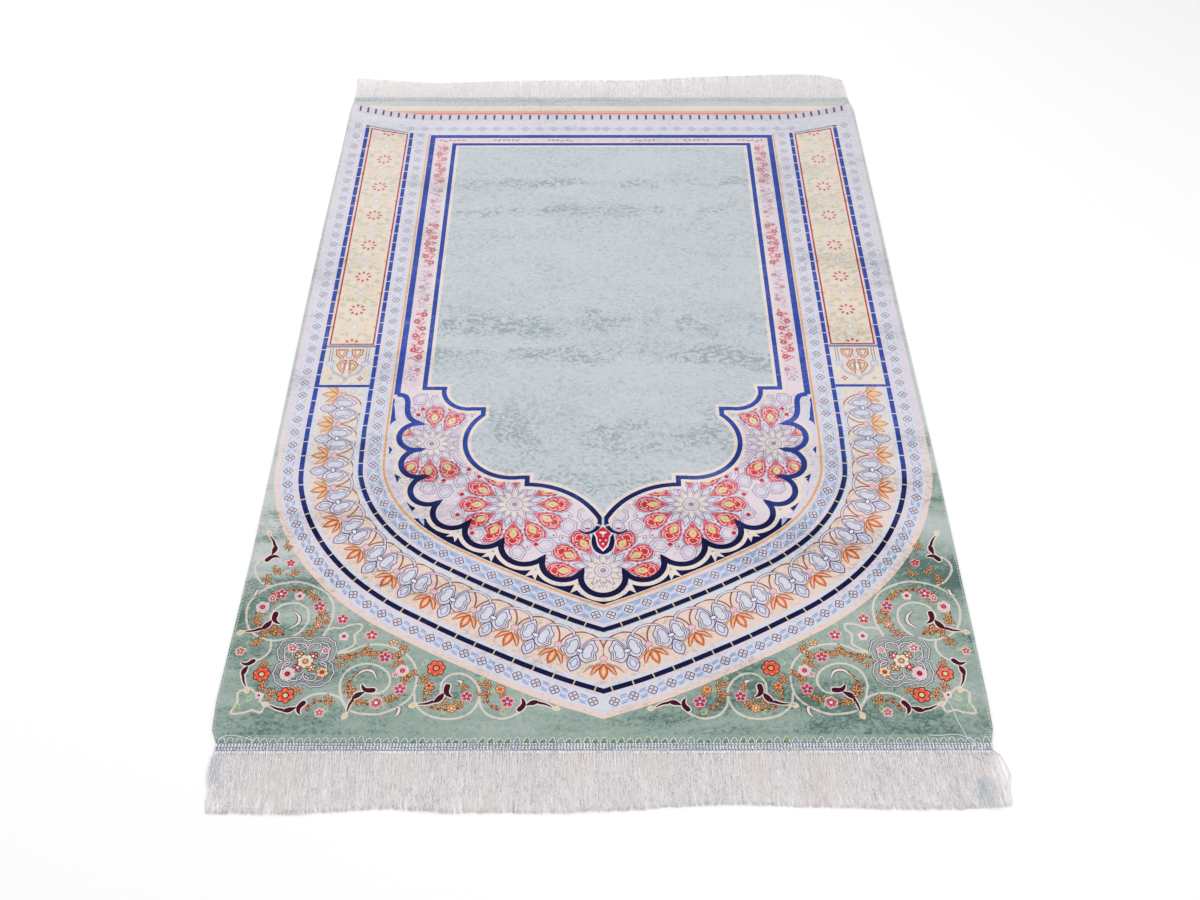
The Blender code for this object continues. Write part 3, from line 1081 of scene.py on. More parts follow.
def draw_cartouche(art):
    """Small panel below the long one, with its leaves and bows."""
    art.box(303, 366, -67, 9, "ivory")
    art.box(301, 366, 4.8, 9.2, "slate")
    art.box(301, 366, -70.2, -65.8, "blue")
    for side in (-1, 1):
        def placed(points, side=side):
            return [(334 + side * a, b) for a, b in points]

        upper = placed([(2.5, 1), (18, 1), (17, -9), (9.5, -17.5), (4.5, -9)])
        lower = placed([(2, -20), (9.5, -22), (14, -29), (10, -37), (4, -45.5)])
        art.outlined(upper, "amber light", "brown", 1.7)
        art.outlined(placed([(6, -0.8), (15, -0.8), (13, -8), (9.2, -12.5)]), "ivory", "brown", 1.3)
        art.outlined(lower, "amber light", "brown", 1.7)
        art.outlined(placed([(4, -25), (10, -28), (8.6, -33), (5, -38.5)]), "ivory", "brown", 1.3)
        art.stroke(placed([(9.5, -17.5), (5, -19.5), (2, -20)]), 1.2, "brown")
        art.fill(placed(leaf_path((5, -15), (13, -21), 4)), "pink")
        for a in (22.3, 25.6):
            art.stroke(placed([(a, 4), (a, -23)]), 1.1, "slate")
        block = placed([(18.5, -22), (28.5, -22), (26, -30.5), (18, -30.5)])
        art.outlined(block, "sky", "periwinkle", 1)
        bow = smoothed(placed([(20.5, -30), (19, -38), (13, -45), (4, -50), (0, -58)]), 4)
        art.stroke(bow, 3, "slate")
        art.stroke(bow, 1.6, "lilac")
        (u, v), = placed([(19.5, -54)])
        blossom(art, Spot(u, v), 4.6, 4, "rose" if side < 0 else "olive", "pale", "cream")
        art.fill(placed(leaf_path((27, -36), (25, -50), 5)), "straw")
    art.outlined(Spot(334, -9)(round_outline(3.6, 12, 2.1)), "lilac", "mauve", 0.9)
    art.outlined(Spot(334, -32)(round_outline(2.4, 10, 3)), "pale", "mauve", 0.8)


def draw_strips(art):
    """Lilac strip with flower scrolls between the two frame lines of the niche."""
    rng = random.Random(12)
    art.box(-5, 259.8, -66, 484, "mallow")
    red, soft = ("red", "crimson", "pink"), ("mauve", "rose", "pink")
    for top, bottom, dyes in ((466, 362, red), (358, 280, soft), (274, 168, red), (163, 86, soft),
                              (80, -26, red), (-28, -62, soft)):
        scroll_cluster(art, top, bottom, 246, 7.4, dyes, rng)
    for u in range(6, 260, 14):
        near_bloom = (u // 42) % 2
        leaf = Spot(u, 477 + 1.5 * math.sin(u), 0.6 * math.sin(0.7 * u))
        art.leaf(leaf, -6, 6, 4, "rose" if near_bloom else "pink", 1)
        if near_bloom:
            blossom(art, Spot(u + 6, 478), 3.4, 5, "red", "amber", "pale")


def draw_niche_ground(art):
    """Ground of the niche's lower part: stars on lilac, within the scalloped line."""
    line = smoothed(SCALLOP_TOP, 5)[:-1] + chained(SCALLOPS)
    gold_side = arch_line(101.5, -84)
    art.fill([*gold_side, (-30, -400), (-30, -84)], "blue")
    upper = [p for p in gold_side if p[1] > -292.0]
    art.fill([*upper, (190, -292), (190, -84)], "lilac")
    for sliver in NAVY_SLIVERS:
        art.fill(sliver, "blue")
    for sliver in SKY_SLIVERS:
        art.fill(sliver, "sky")
    lower = [p for p in line if p[1] < -130.0]
    art.stroke(lower, 17.5, "cream")
    for here, before, after in zip(SCALLOPS[1:-1], SCALLOPS, SCALLOPS[2:]):
        across = (after[0] - before[0], after[1] - before[1])
        spear_point(art, Spot(here[0], here[1], math.atan2(across[0], -across[1])))
    ground = [(-30, -60), (263, -60), *line]
    art.mask = art.fill(ground, "rosy")
    for u, v, turns in STARS:
        star_flower(art, Spot(u, v), turns)
    art.fill([(-30, -352), (8, -352), (17, -364), (21, -372), (21, -402), (-30, -402)], "ivory")
    for u, v, size in PALE_SHAPES:
        block = Spot(u, v, 2 * math.sin(u), size * 1.12)
        art.outlined(block(PALE_KITE), "lavender", "mauve", 1.2)
        art.outlined(block([(0.68 * a, 0.68 * b) for a, b in PALE_KITE]), "lilac", "mauve", 0.8)
        art.fill(block([(0.30 * a, 0.30 * b) for a, b in PALE_KITE]), "rosy")
    for u, v, turns in STARS:
        star_heart(art, Spot(u, v))
    for u, v in HEART_DOTS:
        art.dot(u, v, 1.2, "taupe", 6)
    for u, v, turn in STAR_SQUARES:
        spot = Spot(u, v, math.radians(turn))
        art.fill(spot(round_outline(4.6, 4)), "pink")
        art.fill(spot(round_outline(3.4, 4)), "crimson")
    art.mask = None
    art.stroke(line, 7.2, "blue")


def spear_point(art, spot):
    """Cream swallow-tailed point that runs out from where two lobes meet."""
    outline = [(4, -8.5), (10, -7), (17, -4.6), (23, -4.8), (33, -6.8), (27.5, 0), (33, 6.8),
               (23, 4.8), (17, 4.6), (10, 7), (4, 8.5)]
    art.fill(spot(outline), "cream")
    art.leaf(spot, 12, 24, 4.4, "ivory", 1, 6)
    art.dot(*spot([(19, 0)])[0], 1.3, "taupe", 5)


def draw_field(art):
    """Plain field of the niche with its stepped edge, and the frame lines round it."""
    edge = [(-5, 467), *chained(FIELD_EDGE)]
    art.fill([*edge, (-5, -291)], "field")
    art.stroke(edge, 15, "cream")
    art.stroke([(263.5, -84), (263.5, 488), (-5, 488)], 8, "blue")
    art.stroke(edge, 6.2, "blue")


def draw_medallion(art):
    """Red drop under the niche's point, in a navy ring, with its hooks and slit."""
    def drawn(rows, dye):
        art.fill(smoothed(rows, 3), dye)

    drawn([(-3, -300), (5, -303), (12, -309), (14.4, -318), (15, -327), (12.4, -338), (6, -345),
           (-3, -348)], "lilac")
    drawn([(-3, -300), (5, -303), (10.5, -309), (12.7, -318), (13.4, -327), (11, -337), (5, -343),
           (-3, -346)], "blue")
    art.box(-3, 1.5, -304, -290.5, "sky")
    art.fill([(-1, -299.5), (4.6, -305), (12, -313.2), (8.6, -319), (7.8, -326), (6, -333),
              (-1, -341.8)], "pale")
    art.fill([(-1, -302), (3.5, -306.5), (9.5, -313.5), (7, -318), (6.3, -325), (4.6, -331.5),
              (-1, -338.5)], "red")
    for u, v, size in ((0, -313, 2.6), (3.2, -312, 1.2), (0, -317.5, 1.2), (3.4, -324, 1.3),
                       (0, -329, 1.6)):
        art.dot(u, v, size, "pale", 7)
    hook = smoothed([(5, -303), (10, -309.5), (18, -313.2), (24, -312), (28.5, -307.5)], 2.5)
    art.stroke(hook, lambda share: 5.6 - 4.2 * share, "blue")
    art.stroke([(15.5, -306), (20.5, -306)], 2.2, "crimson")


def draw_spandrel(art):
    """Green corner below the arch: cream scrolls, maroon leaves and small flowers."""
    for rows in VINES:
        line = smoothed(rows, 6)
        art.stroke(line, 2.8, "bark")
        for (u, v), turn in stations(line, 4, 7):
            art.leaf(Spot(u, v, turn), -2.4, 3.2, 1.7, "amber", 1, 4)
        for k, ((u, v), turn) in enumerate(stations(line, 6, 11)):
            leaf = Spot(u, v, turn + (0.8 if k % 2 else -0.8))
            art.leaf(leaf, 0, 7.5, 3.4, "bark" if k % 3 else "leaf", 0.8, 5)
            art.leaf(leaf, 1.2, 6, 1.5, "amber" if k % 3 else "green", 0.8, 4)
    for rows in SCROLLS:
        art.stroke(smoothed(rows, 5), 2.5, "scroll")
    for u, v, turn, size, mirror in SPRAYS:
        leaf_spray(art, Spot(u, v, math.radians(turn), size, mirror))
    lace(art, Spot(322, -491.5, 0, 1.16))
    for rows in INNER_CURLS:
        line = smoothed(rows, 3)
        art.stroke(line, swelling(0.8, 5), "maroon")
        art.stroke(line, swelling(0.2, 3.2), "cream")
    for u, v, turn, size in TWIGS:
        twig_clump(art, Spot(u, v, math.radians(turn), size))
    for u, v, turn, size in PALE_LEAVES:
        spot = Spot(u, v, math.radians(turn), size)
        art.leaf(spot, 0, 13, 7, "leaf")
        art.leaf(spot, 1.6, 10.5, 4, "green")
    for u, v, size, petals, dye, heart in FLOWERS:
        blossom(art, Spot(u, v, 0.3), size, petals, dye, heart, FLOWER_EDGES.get(dye, "cream"))


def leaf_spray(art, spot):
    """Three maroon leaves in a row, edged in cream, where a scroll ends."""
    parts = (
        ([(-4, 10), (-3.5, 3), (-6.5, -1.5), (-11.5, -4)], lambda s: 5.8 * (1 - s * s) + 0.6),
        ([(-1, 1), (1.5, -3.5), (5, -8), (9.5, -11.5)], swelling(1, 6.8)),
        ([(9, -10), (17, -13), (27, -14)], lambda s: 3.4 * (1 - s) ** 0.6 + 0.3),
    )
    for grow, dye in ((2.6, "cream"), (0, "maroon")):
        for rows, form in parts:
            line = smoothed(spot(rows), 2)
            art.stroke(line, lambda share, form=form, grow=grow: spot.size * form(share) + grow, dye)
        (u, v), = spot([(-4, 10)])
        art.dot(u, v, 3.1 * spot.size + grow / 2, dye, 12)
    art.outlined(spot(leaf_path((26, -14), (35, -17), 6)), "straw", "cream", 1)


def lace(art, spot):
    """Cloud-edged four-lobed ribbon in lilac between maroon lines, with curls in its lobes."""
    line = []
    for k in range(97):
        turn = math.tau * k / 96 + 0.35
        reach = 15.5 + 14 * abs(math.sin(2 * turn)) ** 0.7
        line.append((reach * math.cos(turn), reach * math.sin(turn)))
    places = stations(spot(line), 0, 4.4)
    for radius, dye in ((5, "maroon"), (4.3, "lilac"), (3.1, "maroon"), (2.5, "green")):
        for k, ((u, v), turn) in enumerate(places):
            art.dot(u, v, radius * (1.16 if k % 2 else 0.94), dye, 10)
    for k in range(4):
        lobe = spot.turned(90 * k + 45)
        for side in (-1, 1):
            way = [(9, 9), (15, 12), (22, 7), (19, 1.5), (14, 4.5)]
            curl = smoothed(lobe([(a, side * b) for a, b in way]), 2.5)
            art.stroke(curl, 2.7, "maroon")
            art.stroke(curl, 1.5, "lilac")
        blossom(art, lobe.moved(9, 0), 4.4, 5, "rose" if k % 2 else "amber", "pale", "maroon")


def twig_clump(art, spot):
    """Small orange and brown sprig."""
    twig(art, spot, [(-9, -2), (-2, 1.5), (9, 0)])
    for start, end, width, dye in (
        ((-3, 1), (2.5, 7), 3.8, "bark"), ((-2, 2), (1.8, 5.8), 1.8, "amber"),
        ((2, -0.5), (-3, -6), 3.6, "bark"), ((1.2, -1.4), (-2.2, -5), 1.8, "amber"),
    ):
        art.fill(spot(leaf_path(start, end, width)), dye)


def drawn_print():
    """The whole half design, ready to be cut into its dyes."""
    art = Artwork()
    draw_ground(art)
    draw_bands(art)
    draw_spandrel(art)
    draw_border(art)
    draw_side_panel(art)
    draw_cartouche(art)
    draw_strips(art)
    draw_niche_ground(art)
    draw_field(art)
    draw_medallion(art)
    return art


# ---- heights and outline of the cloth -------------------------------------------------
def side_edge(y, side):
    """Distance of the cloth's edge from the middle line, on one side."""
    rows = np.array(SIDE_EDGES)
    return np.abs(np.interp(y, rows[:, 0], rows[:, 1 if side < 0 else 2]))


def pile_height(x, y):
    """Height of the pile: flat with slight waves, rounded down at the edges."""
    edge = np.where(x < 0, side_edge(y, -1), side_edge(y, 1))
    end = CLOTH_HIGH[1] + 0.0001
    inset = np.clip(np.minimum(edge - np.abs(x), end - np.abs(y)), 0.0, RIM_ROUND)
    rounding = np.sqrt(np.clip(1.0 - (1.0 - inset / RIM_ROUND) ** 2, 0.0, 1.0))
    waves = sum(h * np.sin(a * x + b * y + c) for a, b, c, h in PILE_WAVES)
    return RIM_TOP + (PILE_TOP - RIM_TOP + waves) * rounding


SIDE_START = 0.390           # across, where the cloth's two sides begin to differ


def on_cloth(flat, mirrored):
    """Points of the half design in metres, on one side of the middle line."""
    u, y = flat[:, 0] * MM, flat[:, 1] * MM
    drawn = side_edge(y, -1)
    reach = side_edge(y, 1) if mirrored else drawn
    share = np.clip((u - SIDE_START) / (drawn - SIDE_START), 0.0, 1.0)
    u = np.where(u > SIDE_START, SIDE_START + share * (reach - SIDE_START), u)
    return np.column_stack((u if mirrored else -u, y))


# ---- meshes ---------------------------------------------------------------------------
def new_piece(name, places, faces, material, smooth=True):
    """A mesh object with a flat map over the rug's length and width."""
    mesh = bpy.data.meshes.new(name)
    mesh.from_pydata([tuple(p) for p in places], [], faces)
    mesh.materials.append(material)
    mesh.polygons.foreach_set("use_smooth", [smooth] * len(mesh.polygons))
    layer = mesh.uv_layers.new(name="OFBake")
    corners = np.empty(len(mesh.loops), np.int32)
    mesh.loops.foreach_get("vertex_index", corners)
    flat = np.asarray(places, float)[corners][:, :2]
    low = flat.min(axis=0)
    size = max(float((flat.max(axis=0) - low).max()), 1e-6)
    layer.data.foreach_set("uv", ((flat - low) / size * 0.996 + 0.002).astype(np.float32).ravel())
    mesh.update()
    piece = bpy.data.objects.new(name, mesh)
    bpy.context.scene.collection.objects.link(piece)
    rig.ride(piece, "root")
    return piece


def tubes(name, paths, radii, sides, material, squash=1.0):
    """Closed tubes with rounded section along many paths of as many points."""
    paths, radii = np.asarray(paths, float), np.asarray(radii, float)
    count, rings = paths.shape[:2]
    ways = np.gradient(paths, axis=1)
    ways /= np.maximum(np.linalg.norm(ways, axis=2), 1e-9)[..., None]
    across = np.cross(ways, (0.0, 0.0, 1.0))
    long = np.linalg.norm(across, axis=2)[..., None]
    across = np.where(long > 1e-4, across / np.maximum(long, 1e-9), (1.0, 0.0, 0.0))
    above = np.cross(across, ways)
    turns = [math.tau * (k + 0.25) / sides for k in range(sides)]
    places = np.stack([
        paths + radii[..., None] * (across * math.cos(t) + above * math.sin(t) * squash) for t in turns
    ], axis=2)
    faces = []
    for tube in range(count):
        start = tube * rings * sides
        for ring in range(rings - 1):
            low = start + ring * sides
            for k in range(sides):
                nxt = (k + 1) % sides
                faces.append((low + k, low + nxt, low + sides + nxt, low + sides + k))
        faces.append(tuple(range(start + sides - 1, start - 1, -1)))
        last = start + (rings - 1) * sides
        faces.append(tuple(range(last, last + sides)))
    return new_piece(name, places.reshape(-1, 3), faces, material)


def capsules(name, starts, ends, thickness, lift, material, squash=0.8, rings=5, sides=6):
    """Short fat stitches from start to end, arched by a lift."""
    starts, ends = np.asarray(starts, float), np.asarray(ends, float)
    shares = np.linspace(0.0, 1.0, rings)
    arch = np.sin(math.pi * shares)
    paths = starts[:, None] + (ends - starts)[:, None] * shares[None, :, None]
    paths[..., 2] += lift * arch
    fat = thickness / 2 * np.maximum(0.25, arch ** 0.5)
    return tubes(name, paths, np.broadcast_to(fat, (len(starts), rings)), sides, material, squash)


# ---- materials ------------------------------------------------------------------------
def linear(red, green, blue):
    """A colour given as 0 to 255, for Blender."""
    return tuple((c / 255 / 12.92) if c <= 10 else ((c / 255 + 0.055) / 1.055) ** 2.4
                 for c in (red, green, blue))


class Sum:
    """A value in a material; sums with it add the nodes they need."""

    def __init__(self, paint, socket):
        self.paint, self.socket = paint, socket

    def _with(self, operation, *others):
        """The sum that a Math node makes of these terms."""
        terms = [t.socket if isinstance(t, Sum) else t for t in others]
        return self.paint.value("ShaderNodeMath", {"operation": operation}, dict(enumerate(terms)))

    def __add__(self, other):
        return self._with("ADD", self, other)

    __radd__ = __add__

    def __mul__(self, other):
        return self._with("MULTIPLY", self, other)

    __rmul__ = __mul__

    def __sub__(self, other):
        return self._with("SUBTRACT", self, other)

    def __rsub__(self, other):
        return self._with("SUBTRACT", other, self)

    def __truediv__(self, other):
        return self._with("DIVIDE", self, other)

    def __rtruediv__(self, other):
        return self._with("DIVIDE", other, self)

    def between(self, low, high):
        """0 at low, 1 at high, eased at both ends."""
        ends = {"From Min": low, "From Max": high, "Value": self.socket}
        return self.paint.value("ShaderNodeMapRange", {"interpolation_type": "SMOOTHSTEP"}, ends)


class Paint:
    """A material that is built up node by node."""

    def __init__(self, name):
        self.material = bpy.data.materials.new(name)
        self.material.use_nodes = True
        self.nodes = self.material.node_tree.nodes
        self.links = self.material.node_tree.links
        self.shader = next(n for n in self.nodes if n.type == "BSDF_PRINCIPLED")
        self.place = self.node("ShaderNodeTexCoord", {}, {}).outputs["Object"]
        parts = self.node("ShaderNodeSeparateXYZ", {}, {"Vector": self.place})
        self.x, self.y = (Sum(self, parts.outputs[k]) for k in range(2))

    def node(self, kind, settings, inputs):
        """A new node, with its settings made first and its inputs joined or filled in."""
        made = self.nodes.new(kind)
        for key, setting in settings.items():
            setattr(made, key, setting)
        for key, given in inputs.items():
            given = given.socket if isinstance(given, Sum) else given
            if isinstance(given, bpy.types.NodeSocket):
                self.links.new(given, made.inputs[key])
            else:
                made.inputs[key].default_value = given
        return made

    def value(self, kind, settings, inputs):
        """The first output of a new node."""
        return Sum(self, self.node(kind, settings, inputs).outputs[0])

    def noise(self, stretch, scale, detail=2.0, warp=0.0):
        """Cloudy value about 0.5, over places stretched along x, y and z."""
        place = self.node("ShaderNodeVectorMath", {"operation": "MULTIPLY"}, {0: self.place, 1: stretch})
        inputs = {"Vector": place.outputs[0], "Scale": scale, "Detail": detail, "Distortion": warp}
        return self.value("ShaderNodeTexNoise", {"noise_dimensions": "3D"}, inputs)

    def mix(self, share, one, two):
        """From one colour to another by a share."""
        ends = {0: share, 6: one, 7: two}
        for k in (6, 7):
            if isinstance(ends[k], tuple):
                ends[k] = (*ends[k][:3], 1.0)
        return self.node("ShaderNodeMix", {"data_type": "RGBA"}, ends).outputs[2]

    def finish(self, colour, roughness, bump=None, depth=0.0003, **constants):
        """Join what varies to the shader and set its constants."""
        self.links.new(colour, self.shader.inputs["Base Color"])
        if isinstance(roughness, Sum):
            self.links.new(roughness.socket, self.shader.inputs["Roughness"])
        else:
            self.shader.inputs["Roughness"].default_value = roughness
        if bump is not None:
            made = self.node("ShaderNodeBump", {}, {"Height": bump, "Distance": depth, "Strength": 0.6})
            self.links.new(made.outputs[0], self.shader.inputs["Normal"])
        for name, setting in constants.items():
            self.shader.inputs[name.replace("_", " ")].default_value = setting
        return self.material


def shaded(colour, share):
    """The colour made darker by a share, a little towards green and blue."""
    red, green, blue = colour[:3]
    return (red * (1 - share * 1.12), green * (1 - share * 0.94), blue * (1 - share * 0.94))


def whitened(colour, share):
    """The colour made paler by a share."""
    return tuple(c + (w - c) * share for c, w in zip(colour[:3], (0.72, 0.71, 0.72)))


def velvet(name, colour, far_sheen_colour, sheen_fade, brush, cloud, folds):
    """Short printed pile: brushed cross bands, faint worm marks and single tufts.

    The lay mixes each dye between a darker and a paler copy of it: the pile's own uneven tone together
    with painted shade and painted sheen of how the brushed pile lies. Up the rug the colour turns to its
    far colour, and the sheen fade is how much paler it is made there: both are painted sheen of the pile
    seen at a low angle. Brush and cloud are how strong the brushed tones and the cross bands are, and
    folds are rows of crushed pile, partly painted shade of the old creases.
    """
    paint = Paint("velvet " + name)
    far = paint.y.between(-0.30, 0.55)
    blotch = paint.noise((2.1, 6.5, 0.0), 3.0, 4.0, 0.6)
    bands = paint.noise((0.25, 1.0, 0.0), 9.0, 2.0, 0.0)
    worms = paint.noise((1.0, 1.4, 0.0), 70.0, 3.0, 2.6)
    marks = paint.noise((1.0, 1.2, 0.0), 210.0, 2.0, 1.4)
    tufts = paint.noise((1.0, 0.7, 0.0), 900.0, 1.0, 0.0)
    # The lay: the pile's own uneven tone, partly painted shade and painted sheen of how the brushed pile lies.
    soft = (blotch - 0.5) * (0.62 * cloud) + (bands - 0.5) * (0.42 * cloud)
    lay = soft + worms * 0.52 + marks * 0.40 + tufts * 0.30 - 0.11
    # Rows along old folds made darker: crushed pile, partly painted shade of the creases.
    if folds:
        dabs = paint.noise((1.0, 1.3, 0.0), 11.0, 2.0, 1.2).between(0.40, 0.60)
        curls = paint.noise((1.0, 1.3, 0.0), 44.0, 3.0, 3.6).between(0.48, 0.58)
        shift = (paint.noise((1.0, 0.4, 0.0), 7.0, 2.0, 0.4) - 0.5) * 0.05
        for along, reach, depth in folds:
            place = paint.y + shift
            fold = place.between(along - reach, along) - place.between(along, along + reach)
            lay = lay - fold * (curls * dabs * depth + depth * 0.06)
    base = colour[:3]
    deep = name in DEEP_DYES
    # Painted sheen: up the rug each dye turns to its paler or bluer far colour, as the pile looks when seen at a low
    # angle.
    if far_sheen_colour is not None:
        # For the green the far colour is the margin's grey-green, reached sooner on the left: a painted haze of sheen.
        low, high = (-0.44, -0.20) if name == "green" else (-0.34, -0.10)
        slope = 0.2 if name == "green" else 0.0
        turn = (paint.y - paint.x * slope + (blotch - 0.5) * 0.30).between(low, high)
        base = paint.mix(turn, base, far_sheen_colour[:3])
        dark = paint.mix(turn, shaded(colour, 0.42 * brush), shaded(far_sheen_colour, 0.34 * brush))
        near_light = whitened(colour, (0.02 if deep else 0.16) * brush)
        light = paint.mix(turn, near_light, whitened(far_sheen_colour, 0.20 * brush))
    else:
        dark, light = shaded(colour, 0.30 * brush), whitened(colour, (0.04 if deep else 0.26) * brush)
    # Each dye mixed between its darker and paler copy by the lay: pile tone, partly painted shade and painted sheen.
    lower = paint.mix(lay.between(0.26, 0.53), dark, base)
    tinted = paint.mix(lay.between(0.50, 0.80), lower, light)
    # Painted sheen: the colour whitened towards the far end of the rug.
    pale = paint.mix(far * sheen_fade, tinted, (0.60, 0.585, 0.61))
    rough = 0.86 - lay * 0.22
    height = tufts * 0.6 + worms * 0.8 + marks * 0.4 + blotch * 0.5
    sheen, gloss = (0.02, 0.1) if deep else (0.20, 0.2)
    return paint.finish(pale, rough, height, 0.0005, Sheen_Weight=sheen, Sheen_Roughness=0.45,
                        Specular_IOR_Level=gloss)


def woven_back(colour):
    """Plain woven backing under the pile."""
    paint = Paint("woven backing")
    place = {"Vector": paint.place, "Scale": 260.0}
    threads, picks = (paint.value("ShaderNodeTexWave", {"bands_direction": way}, place) for way in "XY")
    cloudy = paint.noise((1.0, 1.0, 1.0), 14.0, 3.0)
    weave = threads * 0.5 + picks * 0.5
    shade = weave * 0.6 + cloudy * 0.4
    tinted = paint.mix(shade.between(0.1, 0.9), shaded(colour, 0.30), colour[:3])
    return paint.finish(tinted, 0.9, weave, 0.0003, Sheen_Weight=0.1)


def yarn(name, colour, strand_shade, warm=None, lines=(1800.0, 14.0), rough=0.55):
    """Spun yarn: light and dark strands, slow change of tone along the row; the darker strands are painted shade
    between the strands, together with the yarn's own uneven tone.
    """
    paint = Paint(name)
    strands = paint.noise((1.0, lines[1] / lines[0], 0.3), lines[0], 1.0)
    patches = paint.noise((1.0, 0.6, 0.0), 16.0, 3.0, 0.5)
    ply = paint.noise((1.0, 1.0, 1.0), 1300.0, 1.0)
    # Strand tone: the yarn's own uneven tone, partly painted shade between strands.
    tone = strands * 0.6 + ply * 0.25 + patches * 0.15
    if warm is None:
        tinted = paint.mix(tone.between(0.34, 0.60), strand_shade[:3], colour[:3])
    else:
        curls = paint.noise((1.0, 0.32, 0.0), 620.0, 2.0, 2.4)
        tinted = paint.mix((tone * 0.5 + curls * 0.5).between(0.35, 0.52), strand_shade[:3], colour[:3])
        tinted = paint.mix(patches.between(0.52, 0.74) * 0.25, tinted, warm[:3])
    return paint.finish(tinted, rough, tone, 0.0002, Sheen_Weight=0.15, Specular_IOR_Level=0.35)


def plain_floor(colour):
    """Matt white floor with a trace of cloud."""
    paint = Paint("studio floor")
    cloudy = paint.noise((1.0, 1.0, 0.0), 3.0, 2.0)
    return paint.finish(paint.mix(cloudy * 0.04, colour[:3], (0.7, 0.7, 0.7)), 0.75, Specular_IOR_Level=0.2)


# ---- what the user sets ---------------------------------------------------------------
def length(name, text, default):
    """A length that the user sets, in metres."""
    return bpy.props.FloatProperty(name=name, description=text, default=default, min=0.0,
                                   unit="LENGTH", precision=5)


def tint(name, text, red, green, blue):
    """A colour that the user sets, given as 0 to 255."""
    return bpy.props.FloatVectorProperty(name=name, description=text, default=linear(red, green, blue),
                                         size=3, min=0.0, max=1.0, subtype="COLOR")


def number(name, text, default):
    """A count that the user sets."""
    return bpy.props.IntProperty(name=name, description=text, default=default, min=1)


class RugSizes(bpy.types.PropertyGroup):
    """Sizes of the rug's yarns and stitches, in metres."""

    sheet_width: length("Width", "Flat width of the velvet between its sides", 0.80)
    sheet_length: length("Length", "Flat length of the velvet without its fringes", 1.20)
    near_yarns: number("Near fringe", "Yarns in the near fringe", 2150)
    far_yarns: number("Far fringe", "Yarns in the far fringe", 1400)
    yarn_thickness: length("Fringe yarn", "Thickness of a fringe yarn", 0.00050)
    stitch_pitch: length("Braid stitch", "Distance between two stitches of the end braid", 0.0033)
    loop_pitch: length("Heading loop", "Distance between two loops of the heading", 0.0089)
    side_pitch: length("Side stitch", "Distance between two stitches of the side seam", 0.0026)


